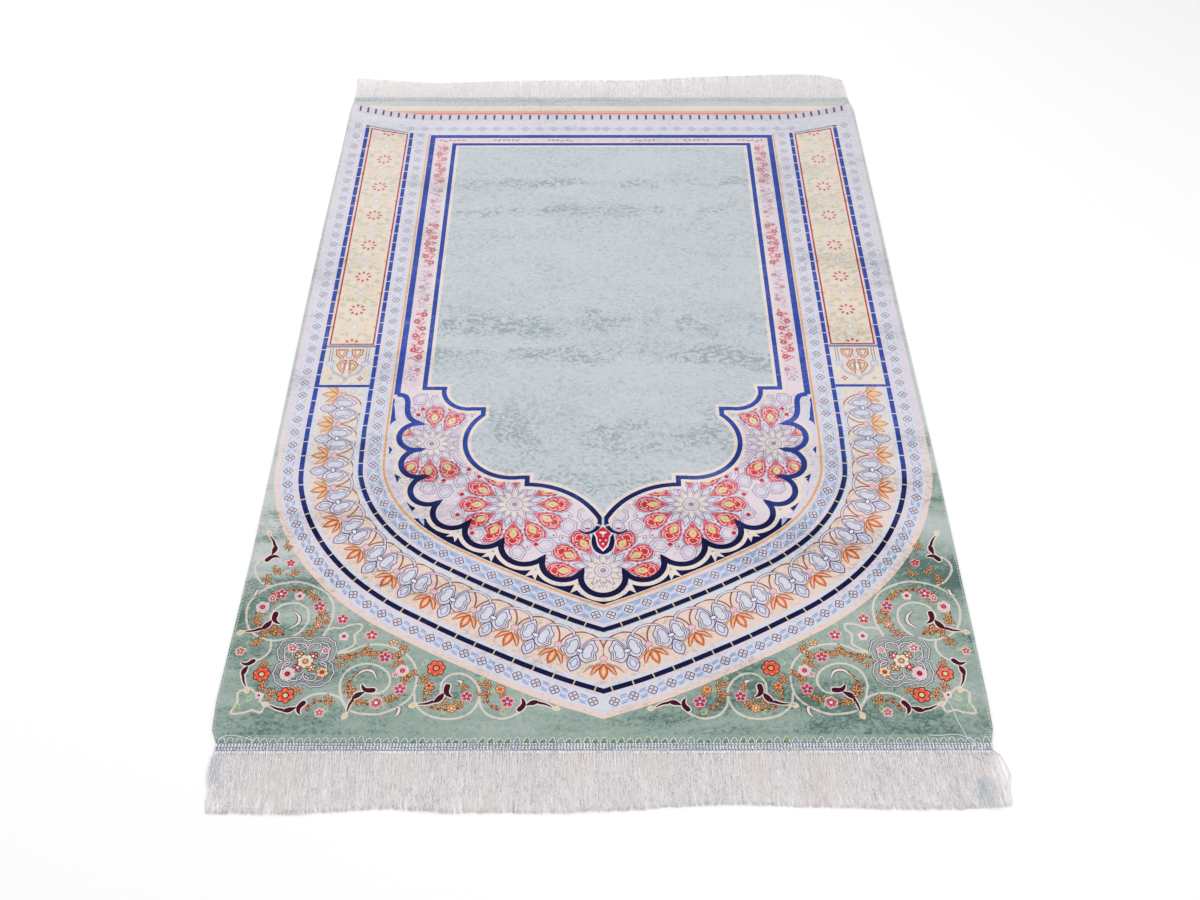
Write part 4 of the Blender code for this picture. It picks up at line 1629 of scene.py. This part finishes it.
class RugColours(bpy.types.PropertyGroup):
    """Dyes of the print, the far colours painted as sheen up the rug, and the colours of the yarns with their painted
    shade.
    """

    field: tint("Field", "Plain field of the niche", 187, 193, 198)
    margin: tint("Margin", "Grey-green margin by the edges", 184, 190, 188)
    green: tint("Green", "Corner below the arch", 138, 157, 148)
    slate_green: tint("Slate green", "Seam strip at the near end", 140, 160, 152)
    navy: tint("Navy", "Lines at the near end", 10, 14, 60)
    # Painted sheen: the navy lines as they look further up the rug.
    royal: tint("Royal blue", "The same lines further up", 48, 72, 158)
    lavender: tint("Lavender", "Ground of the guard stripes", 205, 205, 216)
    lilac: tint("Lilac", "Narrow stripes", 209, 200, 211)
    sky: tint("Sky blue", "Light blue stripes", 170, 183, 215)
    periwinkle: tint("Periwinkle", "Shadows of the blue stripes", 116, 134, 190)
    slate: tint("Slate", "Fine outlines", 72, 75, 118)
    mauve: tint("Mauve", "Fine outlines of the stars", 158, 136, 164)
    cream: tint("Cream", "Cream bands and scrolls", 222, 208, 200)
    ivory: tint("Ivory", "Ground of the small panel", 216, 206, 198)
    blush: tint("Blush", "Ground of the main border", 221, 198, 188)
    peach: tint("Peach", "Ground of the long panel", 218, 203, 184)
    rosy: tint("Rosy", "Ground of the stars", 216, 202, 210)
    pink: tint("Pink", "Pale pink knots and flowers", 226, 176, 186)
    pale: tint("Pale", "Near-white accents", 226, 224, 228)
    red: tint("Red", "Petals", 198, 30, 54)
    rose: tint("Rose", "Soft red lines", 206, 84, 94)
    crimson: tint("Crimson", "Deep red squares", 176, 24, 44)
    scarlet: tint("Scarlet", "Orange-red flowers", 226, 84, 58)
    maroon: tint("Maroon", "Leaves of the green corner", 66, 6, 32)
    gold: tint("Gold", "Thin gold line", 214, 160, 96)
    straw: tint("Straw", "Pale yellow accents", 216, 194, 146)
    amber: tint("Amber", "Orange fillings", 222, 150, 96)
    orange: tint("Orange", "Buds of the lilies", 220, 110, 60)
    brown: tint("Brown", "Brown outlines", 146, 82, 46)
    olive: tint("Olive", "Lattice marks", 196, 188, 158)
    leaf: tint("Leaf green", "Pale green leaves", 170, 192, 136)
    taupe: tint("Taupe", "Rings in the stars", 150, 136, 136)
    grey_pink: tint("Grey pink", "Ground between the far stripes", 200, 190, 204)
    scarlet_line: tint("Red line", "Outline of the long panel", 168, 22, 50)
    # Painted sheen: the colours that these dyes turn to further up the rug.
    tan: tint("Tan", "Brown outlines further up", 172, 106, 66)
    apricot: tint("Apricot", "Buds of the lilies further up", 228, 178, 118)
    slate_far: tint("Far slate", "Fine outlines further up", 116, 120, 152)
    blush_far: tint("Far blush", "Ground of the main border further up", 214, 206, 204)
    sky_far: tint("Far sky", "Light blue stripes further up", 200, 205, 220)
    periwinkle_far: tint("Far periwinkle", "Shadows of the blue stripes further up", 164, 171, 204)
    amber_light: tint("Light amber", "Petals of the lilies", 228, 188, 158)
    mallow: tint("Mallow", "Ground of the strip round the niche", 214, 198, 206)
    ink: tint("Ink", "Short dashes at the far end", 56, 58, 104)
    # Painted sheen: the straw lines as they look further up the rug.
    straw_far: tint("Far straw", "Straw lines at the far end", 224, 208, 180)
    sky_deep: tint("Deep sky", "Leaves of the guard stripes", 152, 166, 208)
    bark: tint("Bark", "Stems of the green corner", 112, 58, 34)
    scroll: tint("Scroll", "Scroll lines of the green corner", 206, 196, 184)
    backing: tint("Backing", "Woven backing", 196, 186, 172)
    fringe: tint("Fringe", "Fringe yarn", 255, 250, 251)
    fringe_shade: tint("Fringe shade", "Fringe yarn in shade", 184, 168, 173)
    fringe_warm: tint("Fringe straw", "Yellowed fringe yarn", 240, 232, 212)
    braid: tint("Braid", "Yarn of the end braid", 240, 244, 246)
    # Darker tone of the braid's yarn: painted shade between the stitches; the tape under the stitches takes it too.
    braid_shade: tint("Braid shade", "Dark yarn of the end braid", 160, 168, 182)
    loop: tint("Loops", "Pale loops of the heading", 228, 232, 230)
    loop_shade: tint("Loop shade", "Loops in shade", 170, 184, 182)
    wedge: tint("Wedges", "Green stitches between the loops", 122, 168, 92)
    thread: tint("Loose thread", "White loose thread", 240, 240, 244)
    blue_tail: tint("Blue tails", "Light blue yarn tails", 222, 230, 242)
    floor: tint("Floor", "Studio floor", 246, 246, 246)


# ---- pieces ---------------------------------------------------------------------------
# Colour that each dye turns to further up the rug: painted sheen of the pile seen at a low angle. Rose and margin are
# also dyes of their own.
FAR_SHEEN_COLOURS = {
    "straw": ("straw", "straw_far"),
    "blue": ("navy", "royal"),
    "red": ("red", "rose"),
    "brown": ("brown", "tan"),
    "orange": ("orange", "apricot"),
    "slate": ("slate", "slate_far"),
    "sky": ("sky", "sky_far"),
    "sky deep": ("sky_deep", "sky_far"),
    "periwinkle": ("periwinkle", "periwinkle_far"),
    "green": ("green", "margin"),
    "blush": ("blush", "blush_far"),
}
DEEP_DYES = ("blue", "ink", "maroon", "bark")
# How much each dye is whitened towards the far end: painted sheen.
SHEEN_FADES = {"blue": 0.02, "field": 0.04, "margin": 0.10, "green": 0.0, "scarlet line": 0.05, "ink": 0.1}
# How strong each dye's lay tones and cross bands are: the pile's own uneven tone, partly painted shade and painted
# sheen.
BRUSHES = {"blue": 0.8, "maroon": 0.3, "bark": 0.5, "field": 1.2, "green": 1.5, "margin": 1.3}
CLOUDS = {"field": 0.30, "green": 1.8}
# Darker rows across the field along old folds: crushed pile, partly painted shade of the creases.
FIELD_FOLDS = (              # along, reach to each side, depth of the tone
    (0.366, 0.018, 0.38),
    (0.300, 0.022, 0.28),
    (0.052, 0.040, 0.40),
    (-0.013, 0.026, 0.54),
    (-0.150, 0.060, 0.28),
    (-0.240, 0.060, 0.20),
)

EVEN_LINES = (700.0, 700.0)  # yarn with no long lines
BRAID_MARGIN = 0.0004
TAPE_POINTS = 161
TAPE_THICK = 0.00098
BRAID_ROWS = (               # distance out from the braid's inner edge, lean of its stitches
    (0.0019, 0.0011),
    (0.0046, -0.0011),
    (0.0073, 0.0011),
)
BRAID_LEVEL = 0.0019         # height of the middle of a stitch
LOOP_POINTS = 11
LOOP_THICK = 0.00056
YARN_HALF = 0.3992           # half the width of a fringe
YARN_START = 0.5990          # where a yarn leaves the braid
ROOTS = 320
LOCK_WAVES = ((0.4, 71.0, 0.3), (0.35, 163.0, 1.9), (0.25, 317.0, 4.0))     # size, waves, phase
SWAY_WAVES = ((0.0016, 23.0, 1.0), (0.0010, 57.0, 2.4), (0.0008, 131.0, 0.7))
CURL_WAVES = ((1.4, 97.0, 0.4), (1.1, 263.0, 2.0), (0.5, 611.0, 1.1))
WOBBLES = (0.0006, 0.0006, 0.0005, 0.00045, 0.0004)
THREAD_POINTS = 17
TAIL_POINTS = 9
LOOSE_THREADS = (            # across, along
    (
        (0.364, -0.542), (0.3665, -0.553), (0.369, -0.566), (0.373, -0.578), (0.377, -0.590),
        (0.384, -0.596),
    ),
    ((0.336, -0.583), (0.348, -0.5835), (0.362, -0.582), (0.374, -0.585), (0.385, -0.592)),
    ((0.383, -0.592), (0.378, -0.600), (0.381, -0.608), (0.388, -0.606), (0.387, -0.598)),
    ((-0.398, -0.588), (-0.391, -0.583), (-0.380, -0.583), (-0.370, -0.586), (-0.360, -0.589)),
    ((0.384, -0.604), (0.389, -0.609), (0.394, -0.607), (0.392, -0.602), (0.386, -0.603)),
    ((0.386, -0.603), (0.383, -0.608), (0.387, -0.612), (0.394, -0.613), (0.396, -0.618)),
)
BLUE_TAILS = (               # across, along, spread, drift, how many
    (-0.3965, -0.606, 0.0022, 0.003, 16),
    (0.3835, -0.632, 0.0045, 0.0005, 26),
)


def dye_material(name):
    """Velvet in one dye of the print."""
    colours = bpy.context.scene.rug_colours
    # The far colour is painted sheen of the same dye, not a second dye.
    near, far = FAR_SHEEN_COLOURS.get(name, (name, None))
    colour = tuple(getattr(colours, near.replace(" ", "_")))
    other = tuple(getattr(colours, far)) if far else None
    folds = FIELD_FOLDS if name == "field" else ()
    sheen_fade, brush, cloud = SHEEN_FADES.get(name, 0.30), BRUSHES.get(name, 1.0), CLOUDS.get(name, 0.9)
    return velvet(name, colour, other, sheen_fade, brush, cloud, folds)


def make_print():
    """Cut the design into its dyes and lay each on the pile, left and right."""
    art = drawn_print()
    grid = [(u, v) for u in range(18, 400, 19) for v in range(-585, 590, 21)]
    flat, cut = art.triangles(grid)
    pieces = []
    for dye, faces in sorted(cut.items()):
        used = np.unique(faces).tolist()
        index = {k: n for n, k in enumerate(used)}
        half = flat[used]
        left, right = on_cloth(half, False), on_cloth(half, True)
        both = np.vstack((left, right))
        places = np.column_stack((both, pile_height(both[:, 0], both[:, 1])))
        count = len(used)
        rows = [tuple(index[int(k)] for k in face) for face in faces]
        turned = [tuple(reversed(face)) for face in rows]
        rows = turned + [tuple(k + count for k in face) for face in rows]
        piece = new_piece("print_" + dye.replace(" ", "_"), places, rows, dye_material(dye))
        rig.slot(piece, "velvet_cloth")
        pieces.append(piece)
    return pieces


def make_cloth():
    """Body of the cloth under the print: flat underside, sides and a sunk top."""
    half = cloth_outline(0.0)
    ring = []
    for side in (False, True):
        line = on_cloth(np.array(half), side)
        ring += [tuple(p) for p in (line if side else line[::-1][1:-1])]
    count = len(ring)
    flat = np.array(ring)
    inward = flat * (1.0 - 0.004 / np.linalg.norm(flat, axis=1))[:, None]
    low = np.column_stack((flat * 0.9985, np.zeros(count)))
    rim = np.column_stack((flat, np.full(count, RIM_TOP * 0.55)))
    edge = np.column_stack((flat, np.full(count, RIM_TOP - 0.0002)))
    top = np.column_stack((inward, np.full(count, PILE_TOP - 0.0010)))
    places = np.vstack((low, rim, edge, top))
    faces = [tuple(range(count - 1, -1, -1))]
    for band in range(3):
        for k in range(count):
            a, b = band * count + k, band * count + (k + 1) % count
            faces.append((a, b, b + count, a + count))
    faces.append(tuple(range(3 * count, 4 * count)))
    backing = woven_back(tuple(bpy.context.scene.rug_colours.backing))
    cloth = new_piece("velvet_cloth_body", places, faces, backing, False)
    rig.replaces(cloth, "rug_cloth")
    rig.slot(cloth, "velvet_cloth")
    return cloth


def make_side_seams():
    """Fine pale stitches that bind both long edges."""
    sizes, colours = bpy.context.scene.rug_sizes, bpy.context.scene.rug_colours
    rng = np.random.default_rng(3)
    end = CLOTH_HIGH[1] - 0.006
    count = int(2 * end / sizes.side_pitch)
    y = np.linspace(-end, end, count)
    starts, ends = [], []
    for side in (-1, 1):
        edge = side * side_edge(y, side)
        slant = rng.normal(0.0007, 0.0003, count)
        inner = edge - side * rng.normal(0.0034, 0.0003, count)
        outer = edge - side * rng.normal(0.0001, 0.0001, count)
        starts.append(np.column_stack((inner, y - slant, pile_height(inner, y) + 0.0001)))
        ends.append(np.column_stack((outer, y + slant, np.full(count, RIM_TOP - 0.0006))))
    material = yarn("seam yarn", tuple(colours.loop), tuple(colours.loop_shade))
    seams = capsules("side_seams", np.vstack(starts), np.vstack(ends), 0.0011, 0.0006, material, 0.8, 4, 5)
    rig.slot(seams, "end_braid")
    return [seams]


def braid_place(end):
    """Name of one end, its braid's inner edge and half the braid's width."""
    low, high = NEAR_BRAID if end < 0 else FAR_BRAID
    half = min(-low[0], high[0])
    return ("near", high[1], half) if end < 0 else ("far", low[1], half)


def braid_rows(end, pitch, rng):
    """Starts and ends of the slanted stitches of one end braid, row by row."""
    _, inner, half = braid_place(end)
    half -= 0.001
    count = int(2 * half / pitch)
    starts, ends = [], []
    level = np.full(count, BRAID_LEVEL)
    for row, lean in BRAID_ROWS:
        x = np.linspace(-half, half, count) + rng.normal(0.0, 0.00018, count)
        wander = 0.00025 * np.sin(x * 31.0 + row * 900.0)
        y = inner + end * (row + wander)
        starts.append(np.column_stack((x - lean, y - end * 0.0012, level)))
        ends.append(np.column_stack((x + lean, y + end * 0.0012, level)))
    return np.vstack(starts), np.vstack(ends)


def make_tape(end, shade):
    """Flat tape of lengthwise yarns under the stitches."""
    word, inner, half = braid_place(end)
    half -= BRAID_MARGIN
    x = np.linspace(-half, half, TAPE_POINTS)
    level = np.full(TAPE_POINTS, 0.0010)
    lines = [np.column_stack((x, np.full(TAPE_POINTS, inner + end * across), level))
             for across in np.linspace(0.0006, 0.0089, 6)]
    paint = yarn(word + " tape", shade, shaded(shade, 0.3), lines=(900.0, 300.0), rough=0.8)
    thick = np.full((len(lines), TAPE_POINTS), TAPE_THICK)
    return tubes(word + "_braid_tape", lines, thick, 8, paint)


def make_loops(end, middle, rng):
    """Leaning loops of the heading, about their middles."""
    word, inner, _ = braid_place(end)
    heel, head = inner + end * 0.0008, inner - end * 0.0050
    loops = []
    for x0 in middle:
        reach = rng.normal(1.0, 0.14)
        top = heel + (head - heel) * reach
        rows = [(x0 - 0.0035, heel), (x0 - 0.0022, heel + (top - heel) * 0.6), (x0 + 0.0006, top),
                (x0 + 0.0026, heel + (top - heel) * 0.75), (x0 + 0.0038, heel)]
        line = np.array(smoothed(rows, 0.0012))
        line = line[np.linspace(0, len(line) - 1, LOOP_POINTS).round().astype(int)]
        height = pile_height(line[:, 0], line[:, 1]) + 0.0005
        height[np.abs(line[:, 1]) > abs(inner) - 0.0008] = 0.0026
        loops.append(np.column_stack((line, height)))
    colours = bpy.context.scene.rug_colours
    paint = yarn(word + " loop yarn", tuple(colours.loop), tuple(colours.loop_shade), lines=EVEN_LINES)
    thick = np.full((len(loops), LOOP_POINTS), LOOP_THICK)
    return tubes(word + "_heading_loops", loops, thick, 6, paint, 0.8)


def make_wedges(end, middle, rng):
    """Green stitches between the loops, in the middle of the rug."""
    inner = braid_place(end)[1]
    x = middle[(np.abs(middle) < 0.20) & (rng.random(len(middle)) < 0.8)]
    x = np.concatenate((x, x + 0.0011, x - 0.0008))
    y0, y1 = inner - end * 0.0005, inner - end * 0.0040
    low_y = np.full(len(x), y0) + rng.normal(0, 0.0003, len(x))
    high_y = np.full(len(x), y1) + rng.normal(0, 0.0008, len(x))
    starts = np.column_stack((x - 0.0012, low_y, np.full(len(x), 0.0028)))
    ends = np.column_stack((x + 0.0006, high_y, np.full(len(x), 0.0030)))
    green = tuple(bpy.context.scene.rug_colours.wedge)
    paint = yarn("wedge yarn", green, shaded(green, 0.3), lines=EVEN_LINES)
    return capsules("green_wedges", starts, ends, 0.0019, 0.0002, paint, 0.6, 4, 5)


def make_braid(end):
    """End braid of slanted stitches on a flat tape, with its looped heading."""
    sizes, colours = bpy.context.scene.rug_sizes, bpy.context.scene.rug_colours
    rng = np.random.default_rng(7 if end < 0 else 8)
    word, _, half = braid_place(end)
    half -= BRAID_MARGIN
    main, shade = tuple(colours.braid), tuple(colours.braid_shade)
    if end > 0:
        main, shade = whitened(main, 0.45), whitened(shade, 0.55)
    pieces = [make_tape(end, shade)]
    paint = yarn(word + " braid yarn", main, shade, lines=EVEN_LINES)
    starts, ends = braid_rows(end, sizes.stitch_pitch, rng)
    pieces.append(capsules(word + "_braid_stitches", starts, ends, 0.0022, 0.0007, paint, 0.8, 5, 6))
    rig.replaces(pieces[-1], word + "_braid")
    count = int(2 * half / sizes.loop_pitch)
    middle = np.linspace(-half + 0.005, half - 0.005, count) + rng.normal(0.0, 0.0004, count)
    pieces.append(make_loops(end, middle, rng))
    if end < 0:
        pieces.append(make_wedges(end, middle, rng))
    for piece in pieces:
        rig.slot(piece, "end_braid")
    return pieces


def summed_waves(x, waves):
    """Sum of sine waves along x."""
    return sum(size * np.sin(x * often + phase) for size, often, phase in waves)


def fringe_paths(end, count, thickness):
    """Paths and radii of the loose yarns of one end."""
    rng = np.random.default_rng(21 if end < 0 else 22)
    lengths = np.array(NEAR_LENGTHS if end < 0 else FAR_LENGTHS)
    drifts = np.array(NEAR_DRIFT if end < 0 else FAR_DRIFT)
    x = np.linspace(-YARN_HALF, YARN_HALF, count) + rng.normal(0.0, 0.00022, count)
    x = x + 0.00018 * np.sin(x * (math.tau / 0.0026) + 1.5 * np.sin(x * 171.0) + np.sin(x * 67.0))
    reach = np.interp(x, lengths[:, 0], lengths[:, 1])
    locks = summed_waves(x, LOCK_WAVES)
    reach = reach * (1.0 + 0.014 * locks + rng.normal(0.0, 0.008, count)) - 0.001
    stray = rng.random(count) < 0.02
    reach = np.where(stray, reach * rng.uniform(0.75, 0.98, count), reach)
    drift = np.interp(x, drifts[:, 0], drifts[:, 1])
    sway = summed_waves(x, SWAY_WAVES)
    rings = 12 if end < 0 else 7
    shares = np.linspace(0.0, 1.0, rings)[None, :]
    wobble = rng.normal(0.0, 1.0, (count, 5)) * (np.array(WOBBLES) * (1.0 if end < 0 else 0.6))
    bend = 0.0
    for k in range(5):
        phase = rng.uniform(0, 6.3, (count, 1))
        bend = bend + wobble[:, k:k + 1] * np.sin(math.pi * shares * (1.6 * k + 0.7) + phase)
    lock = summed_waves(x, CURL_WAVES)[:, None]
    curl = np.sin(math.tau * shares * 2.3 + lock) + 0.5 * np.sin(math.tau * shares * 4.1 + 1.7 * lock)
    bend = bend * 0.8 + 0.0011 * curl * np.minimum(1.0, shares * 6.0)
    lean = rng.normal(0.0, 0.0011, (count, 1))
    across = x[:, None] + (drift + sway)[:, None] * shares ** 1.4 + bend * shares ** 0.5 + lean * shares
    corner = np.clip((np.abs(x)[:, None] - 0.385) / 0.015, 0.0, 1.0) * np.sign(x)[:, None]
    bulge = np.where(x > 0, 0.0125, 0.0055)[:, None] if end < 0 else 0.0015
    across = across + corner ** 3 * bulge * np.sin(math.pi * shares ** 0.62)
    along = end * (YARN_START + reach[:, None] * shares)
    layer = rng.random((count, 1))
    height = 0.0006 + (0.0018 - 0.0007 * shares) * layer + 0.0003 * np.sin(9.0 * shares + 40.0 * x[:, None])
    radius = np.broadcast_to(thickness / 2 * (1.0 - 0.35 * shares ** 4), across.shape)
    height = np.maximum(height, radius + 0.0001)
    return np.stack((across, along, height), axis=2), radius


def make_fringe(end):
    """Fine loose yarns that run out from under one end braid."""
    sizes, colours = bpy.context.scene.rug_sizes, bpy.context.scene.rug_colours
    word = "near" if end < 0 else "far"
    count = sizes.near_yarns if end < 0 else sizes.far_yarns
    paths, radius = fringe_paths(end, count, sizes.yarn_thickness)
    # The shade colour is painted shade between the yarns; at the far end it is made paler.
    main, dark, warm = tuple(colours.fringe), tuple(colours.fringe_shade), tuple(colours.fringe_warm)
    if end > 0:
        dark = whitened(dark, 0.3)
    paint = yarn(word + " fringe yarn", main, dark, warm, (2300.0, 16.0), 0.6)
    fringe = tubes(word + "_fringe_yarns", paths, radius, 3, paint)
    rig.replaces(fringe, word + "_fringe")
    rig.slot(fringe, "fringe_yarn")
    y0, y1 = sorted((end * 0.5985, end * 0.6034))
    knots = np.linspace(-0.3985, 0.3985, ROOTS)
    starts = np.column_stack((knots, np.full(ROOTS, y0), np.full(ROOTS, 0.0010)))
    ends = np.column_stack((knots + 0.0004, np.full(ROOTS, y1), np.full(ROOTS, 0.0010)))
    roots = capsules(word + "_fringe_roots", starts, ends, 0.0025, 0.0002, paint, 0.9, 4, 4)
    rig.slot(roots, "fringe_yarn")
    return [fringe, roots]


def make_loose_threads():
    """The odd thread that has worked loose at the near end."""
    colours = bpy.context.scene.rug_colours
    white = yarn("loose thread", tuple(colours.thread), whitened(shaded(tuple(colours.thread), 0.2), 0.3))
    blue = yarn("blue tail", tuple(colours.blue_tail), shaded(tuple(colours.blue_tail), 0.2))
    paths = []
    for k, rows in enumerate(LOOSE_THREADS):
        line = np.array(smoothed(rows, 0.0018))
        line = line[np.linspace(0, len(line) - 1, THREAD_POINTS).round().astype(int)]
        height = 0.0037 + 0.0002 * np.sin(np.arange(THREAD_POINTS) * 0.9 + k)
        paths.append(np.column_stack((line, height)))
    threads = tubes("loose_threads", paths, np.full((len(paths), THREAD_POINTS), 0.00042), 5, white)
    tails = []
    rng = np.random.default_rng(31)
    for x0, y0, spread, drift, count in BLUE_TAILS:
        for _ in range(count):
            start = np.array((x0 + rng.normal(0, spread), y0 + rng.normal(0, 0.002)))
            reach = rng.uniform(0.024, 0.034)
            shares = np.linspace(0.0, 1.0, TAIL_POINTS)
            across = start[0] + drift * shares + rng.normal(0, 0.0012) * np.sin(shares * 5.0)
            along = start[1] - reach * shares
            height = 0.0030 - 0.0008 * shares + rng.uniform(0, 0.0006)
            tails.append(np.column_stack((across, along, height)))
    tails = tubes("blue_tails", tails, np.full((len(tails), TAIL_POINTS), 0.00020), 4, blue)
    for piece in (threads, tails):
        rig.slot(piece, "fringe_yarn")
    return [threads, tails]


# ---- stage ----------------------------------------------------------------------------
CAMERA_PLACE = (-0.006545, -1.318852, 1.237198)
CAMERA_TURN = (47.32404, -0.16395, 0.08993)      # down, about the vertical, about its own axis; degrees
CAMERA_LENS = 40.78                              # millimetres, for a picture 36 mm wide
LIGHTS = (
    # name, place, aims at, width, height, power
    ("window light", (-1.6, 1.5, 2.2), (0.0, 0.0, 0.0), 2.0, 1.4, 34.0),
    ("overhead light", (0.3, -0.2, 2.6), (0.0, 0.0, 0.0), 2.6, 2.6, 30.0),
    ("fill light", (1.8, -1.4, 1.5), (0.0, -0.1, 0.0), 1.6, 1.2, 8.0),
)


def make_stage():
    """White floor, three soft lights, a pale sky and the camera."""
    scene = bpy.context.scene
    scene.view_settings.view_transform = "Standard"
    staged = []
    mesh = bpy.data.meshes.new("floor")
    mesh.from_pydata([(-9, -9, 0), (9, -9, 0), (9, 9, 0), (-9, 9, 0)], [], [(0, 1, 2, 3)])
    mesh.materials.append(plain_floor(tuple(scene.rug_colours.floor)))
    floor = bpy.data.objects.new("floor", mesh)
    floor.location.z = -0.0002
    scene.collection.objects.link(floor)
    staged.append(floor)
    for name, place, aim, width, height, power in LIGHTS:
        data = bpy.data.lights.new(name, "AREA")
        data.shape, data.size, data.size_y, data.energy = "RECTANGLE", width, height, power
        light = bpy.data.objects.new(name, data)
        light.location = place
        light.rotation_euler = (Vector(aim) - Vector(place)).to_track_quat("-Z", "Y").to_euler()
        scene.collection.objects.link(light)
        staged.append(light)
    world = bpy.data.worlds.new("studio")
    world.use_nodes = True
    background = world.node_tree.nodes["Background"]
    background.inputs["Color"].default_value = (1.0, 1.0, 1.0, 1.0)
    background.inputs["Strength"].default_value = 0.54
    scene.world = world
    down, about, roll = (math.radians(a) for a in CAMERA_TURN)
    data = bpy.data.cameras.new("camera")
    data.lens, data.sensor_width, data.sensor_fit = CAMERA_LENS, 36.0, "HORIZONTAL"
    camera = bpy.data.objects.new("camera", data)
    tilt = Matrix.Rotation(math.pi / 2 - down, 4, "X")
    turn = Matrix.Rotation(about, 4, "Z") @ tilt @ Matrix.Rotation(roll, 4, "Z")
    camera.matrix_world = Matrix.Translation(CAMERA_PLACE) @ turn
    scene.collection.objects.link(camera)
    scene.camera = camera
    staged.append(camera)
    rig.stage(*staged)


# ---- operators and panel --------------------------------------------------------------
LAID = []                    # pieces that belong to the sheet


def laid_by(*makers):
    """Run the makers and keep what they made for the sheet."""
    for make in makers:
        LAID.extend(make())
    return {"FINISHED"}


class RUG_OT_stage(bpy.types.Operator):
    """Set the floor, the lights and the camera"""

    bl_idname = "rug.stage"
    bl_label = "Studio"

    def execute(self, context):
        make_stage()
        return {"FINISHED"}


class RUG_OT_print(bpy.types.Operator):
    """Lay the printed velvet, one piece for each dye"""

    bl_idname = "rug.print"
    bl_label = "Printed Velvet"

    def execute(self, context):
        return laid_by(make_print)


class RUG_OT_side_seams(bpy.types.Operator):
    """Stitch both long edges"""

    bl_idname = "rug.side_seams"
    bl_label = "Side Seams"

    def execute(self, context):
        return laid_by(make_side_seams)


class RUG_OT_braids(bpy.types.Operator):
    """Lay the braid and the looped heading at both ends"""

    bl_idname = "rug.braids"
    bl_label = "End Braids"

    def execute(self, context):
        return laid_by(lambda: make_braid(-1), lambda: make_braid(1))


class RUG_OT_fringes(bpy.types.Operator):
    """Comb out the fringes at both ends"""

    bl_idname = "rug.fringes"
    bl_label = "Fringes"

    def execute(self, context):
        return laid_by(lambda: make_fringe(-1), lambda: make_fringe(1))


class RUG_OT_loose_threads(bpy.types.Operator):
    """Add the threads that have worked loose"""

    bl_idname = "rug.loose_threads"
    bl_label = "Loose Threads"

    def execute(self, context):
        return laid_by(make_loose_threads)


class RUG_OT_cloth(bpy.types.Operator):
    """Lay the body of the cloth under everything made so far"""

    bl_idname = "rug.cloth"
    bl_label = "Cloth"

    def execute(self, context):
        sizes = context.scene.rug_sizes
        cloth = make_cloth()
        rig.sheet(cloth, flat=(sizes.sheet_width, sizes.sheet_length), held="laid", with_pieces=LAID)
        return {"FINISHED"}


STEPS = (
    RUG_OT_stage,
    RUG_OT_print,
    RUG_OT_side_seams,
    RUG_OT_braids,
    RUG_OT_fringes,
    RUG_OT_loose_threads,
    RUG_OT_cloth,
)


class RUG_PT_steps(bpy.types.Panel):
    """Steps that build the rug"""

    bl_label = "Prayer Rug"
    bl_space_type = "VIEW_3D"
    bl_region_type = "UI"
    bl_category = "Rug"

    def draw(self, context):
        sizes, colours = context.scene.rug_sizes, context.scene.rug_colours
        for step in STEPS:
            self.layout.operator(step.bl_idname)
        for group in (sizes, colours):
            column = self.layout.column(align=True)
            for key in group.bl_rna.properties.keys():
                if key not in ("rna_type", "name"):
                    column.prop(group, key)


CLASSES = (RugSizes, RugColours, *STEPS, RUG_PT_steps)


def register():
    for made in CLASSES:
        bpy.utils.register_class(made)
    bpy.types.Scene.rug_sizes = bpy.props.PointerProperty(type=RugSizes)
    bpy.types.Scene.rug_colours = bpy.props.PointerProperty(type=RugColours)


def unregister():
    del bpy.types.Scene.rug_colours
    del bpy.types.Scene.rug_sizes
    for made in reversed(CLASSES):
        bpy.utils.unregister_class(made)


def main():
    register()
    for step in STEPS:
        group, name = step.bl_idname.split(".")
        getattr(getattr(bpy.ops, group), name)()
    laid = [[float(v) for v in corner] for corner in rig.bounds()]
    with open("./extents.json", "w") as out:
        json.dump({"cad": [[float(v) for v in corner] for corner in CAD_BOX], "visual": laid}, out)


if __name__ == "__main__":
    main()
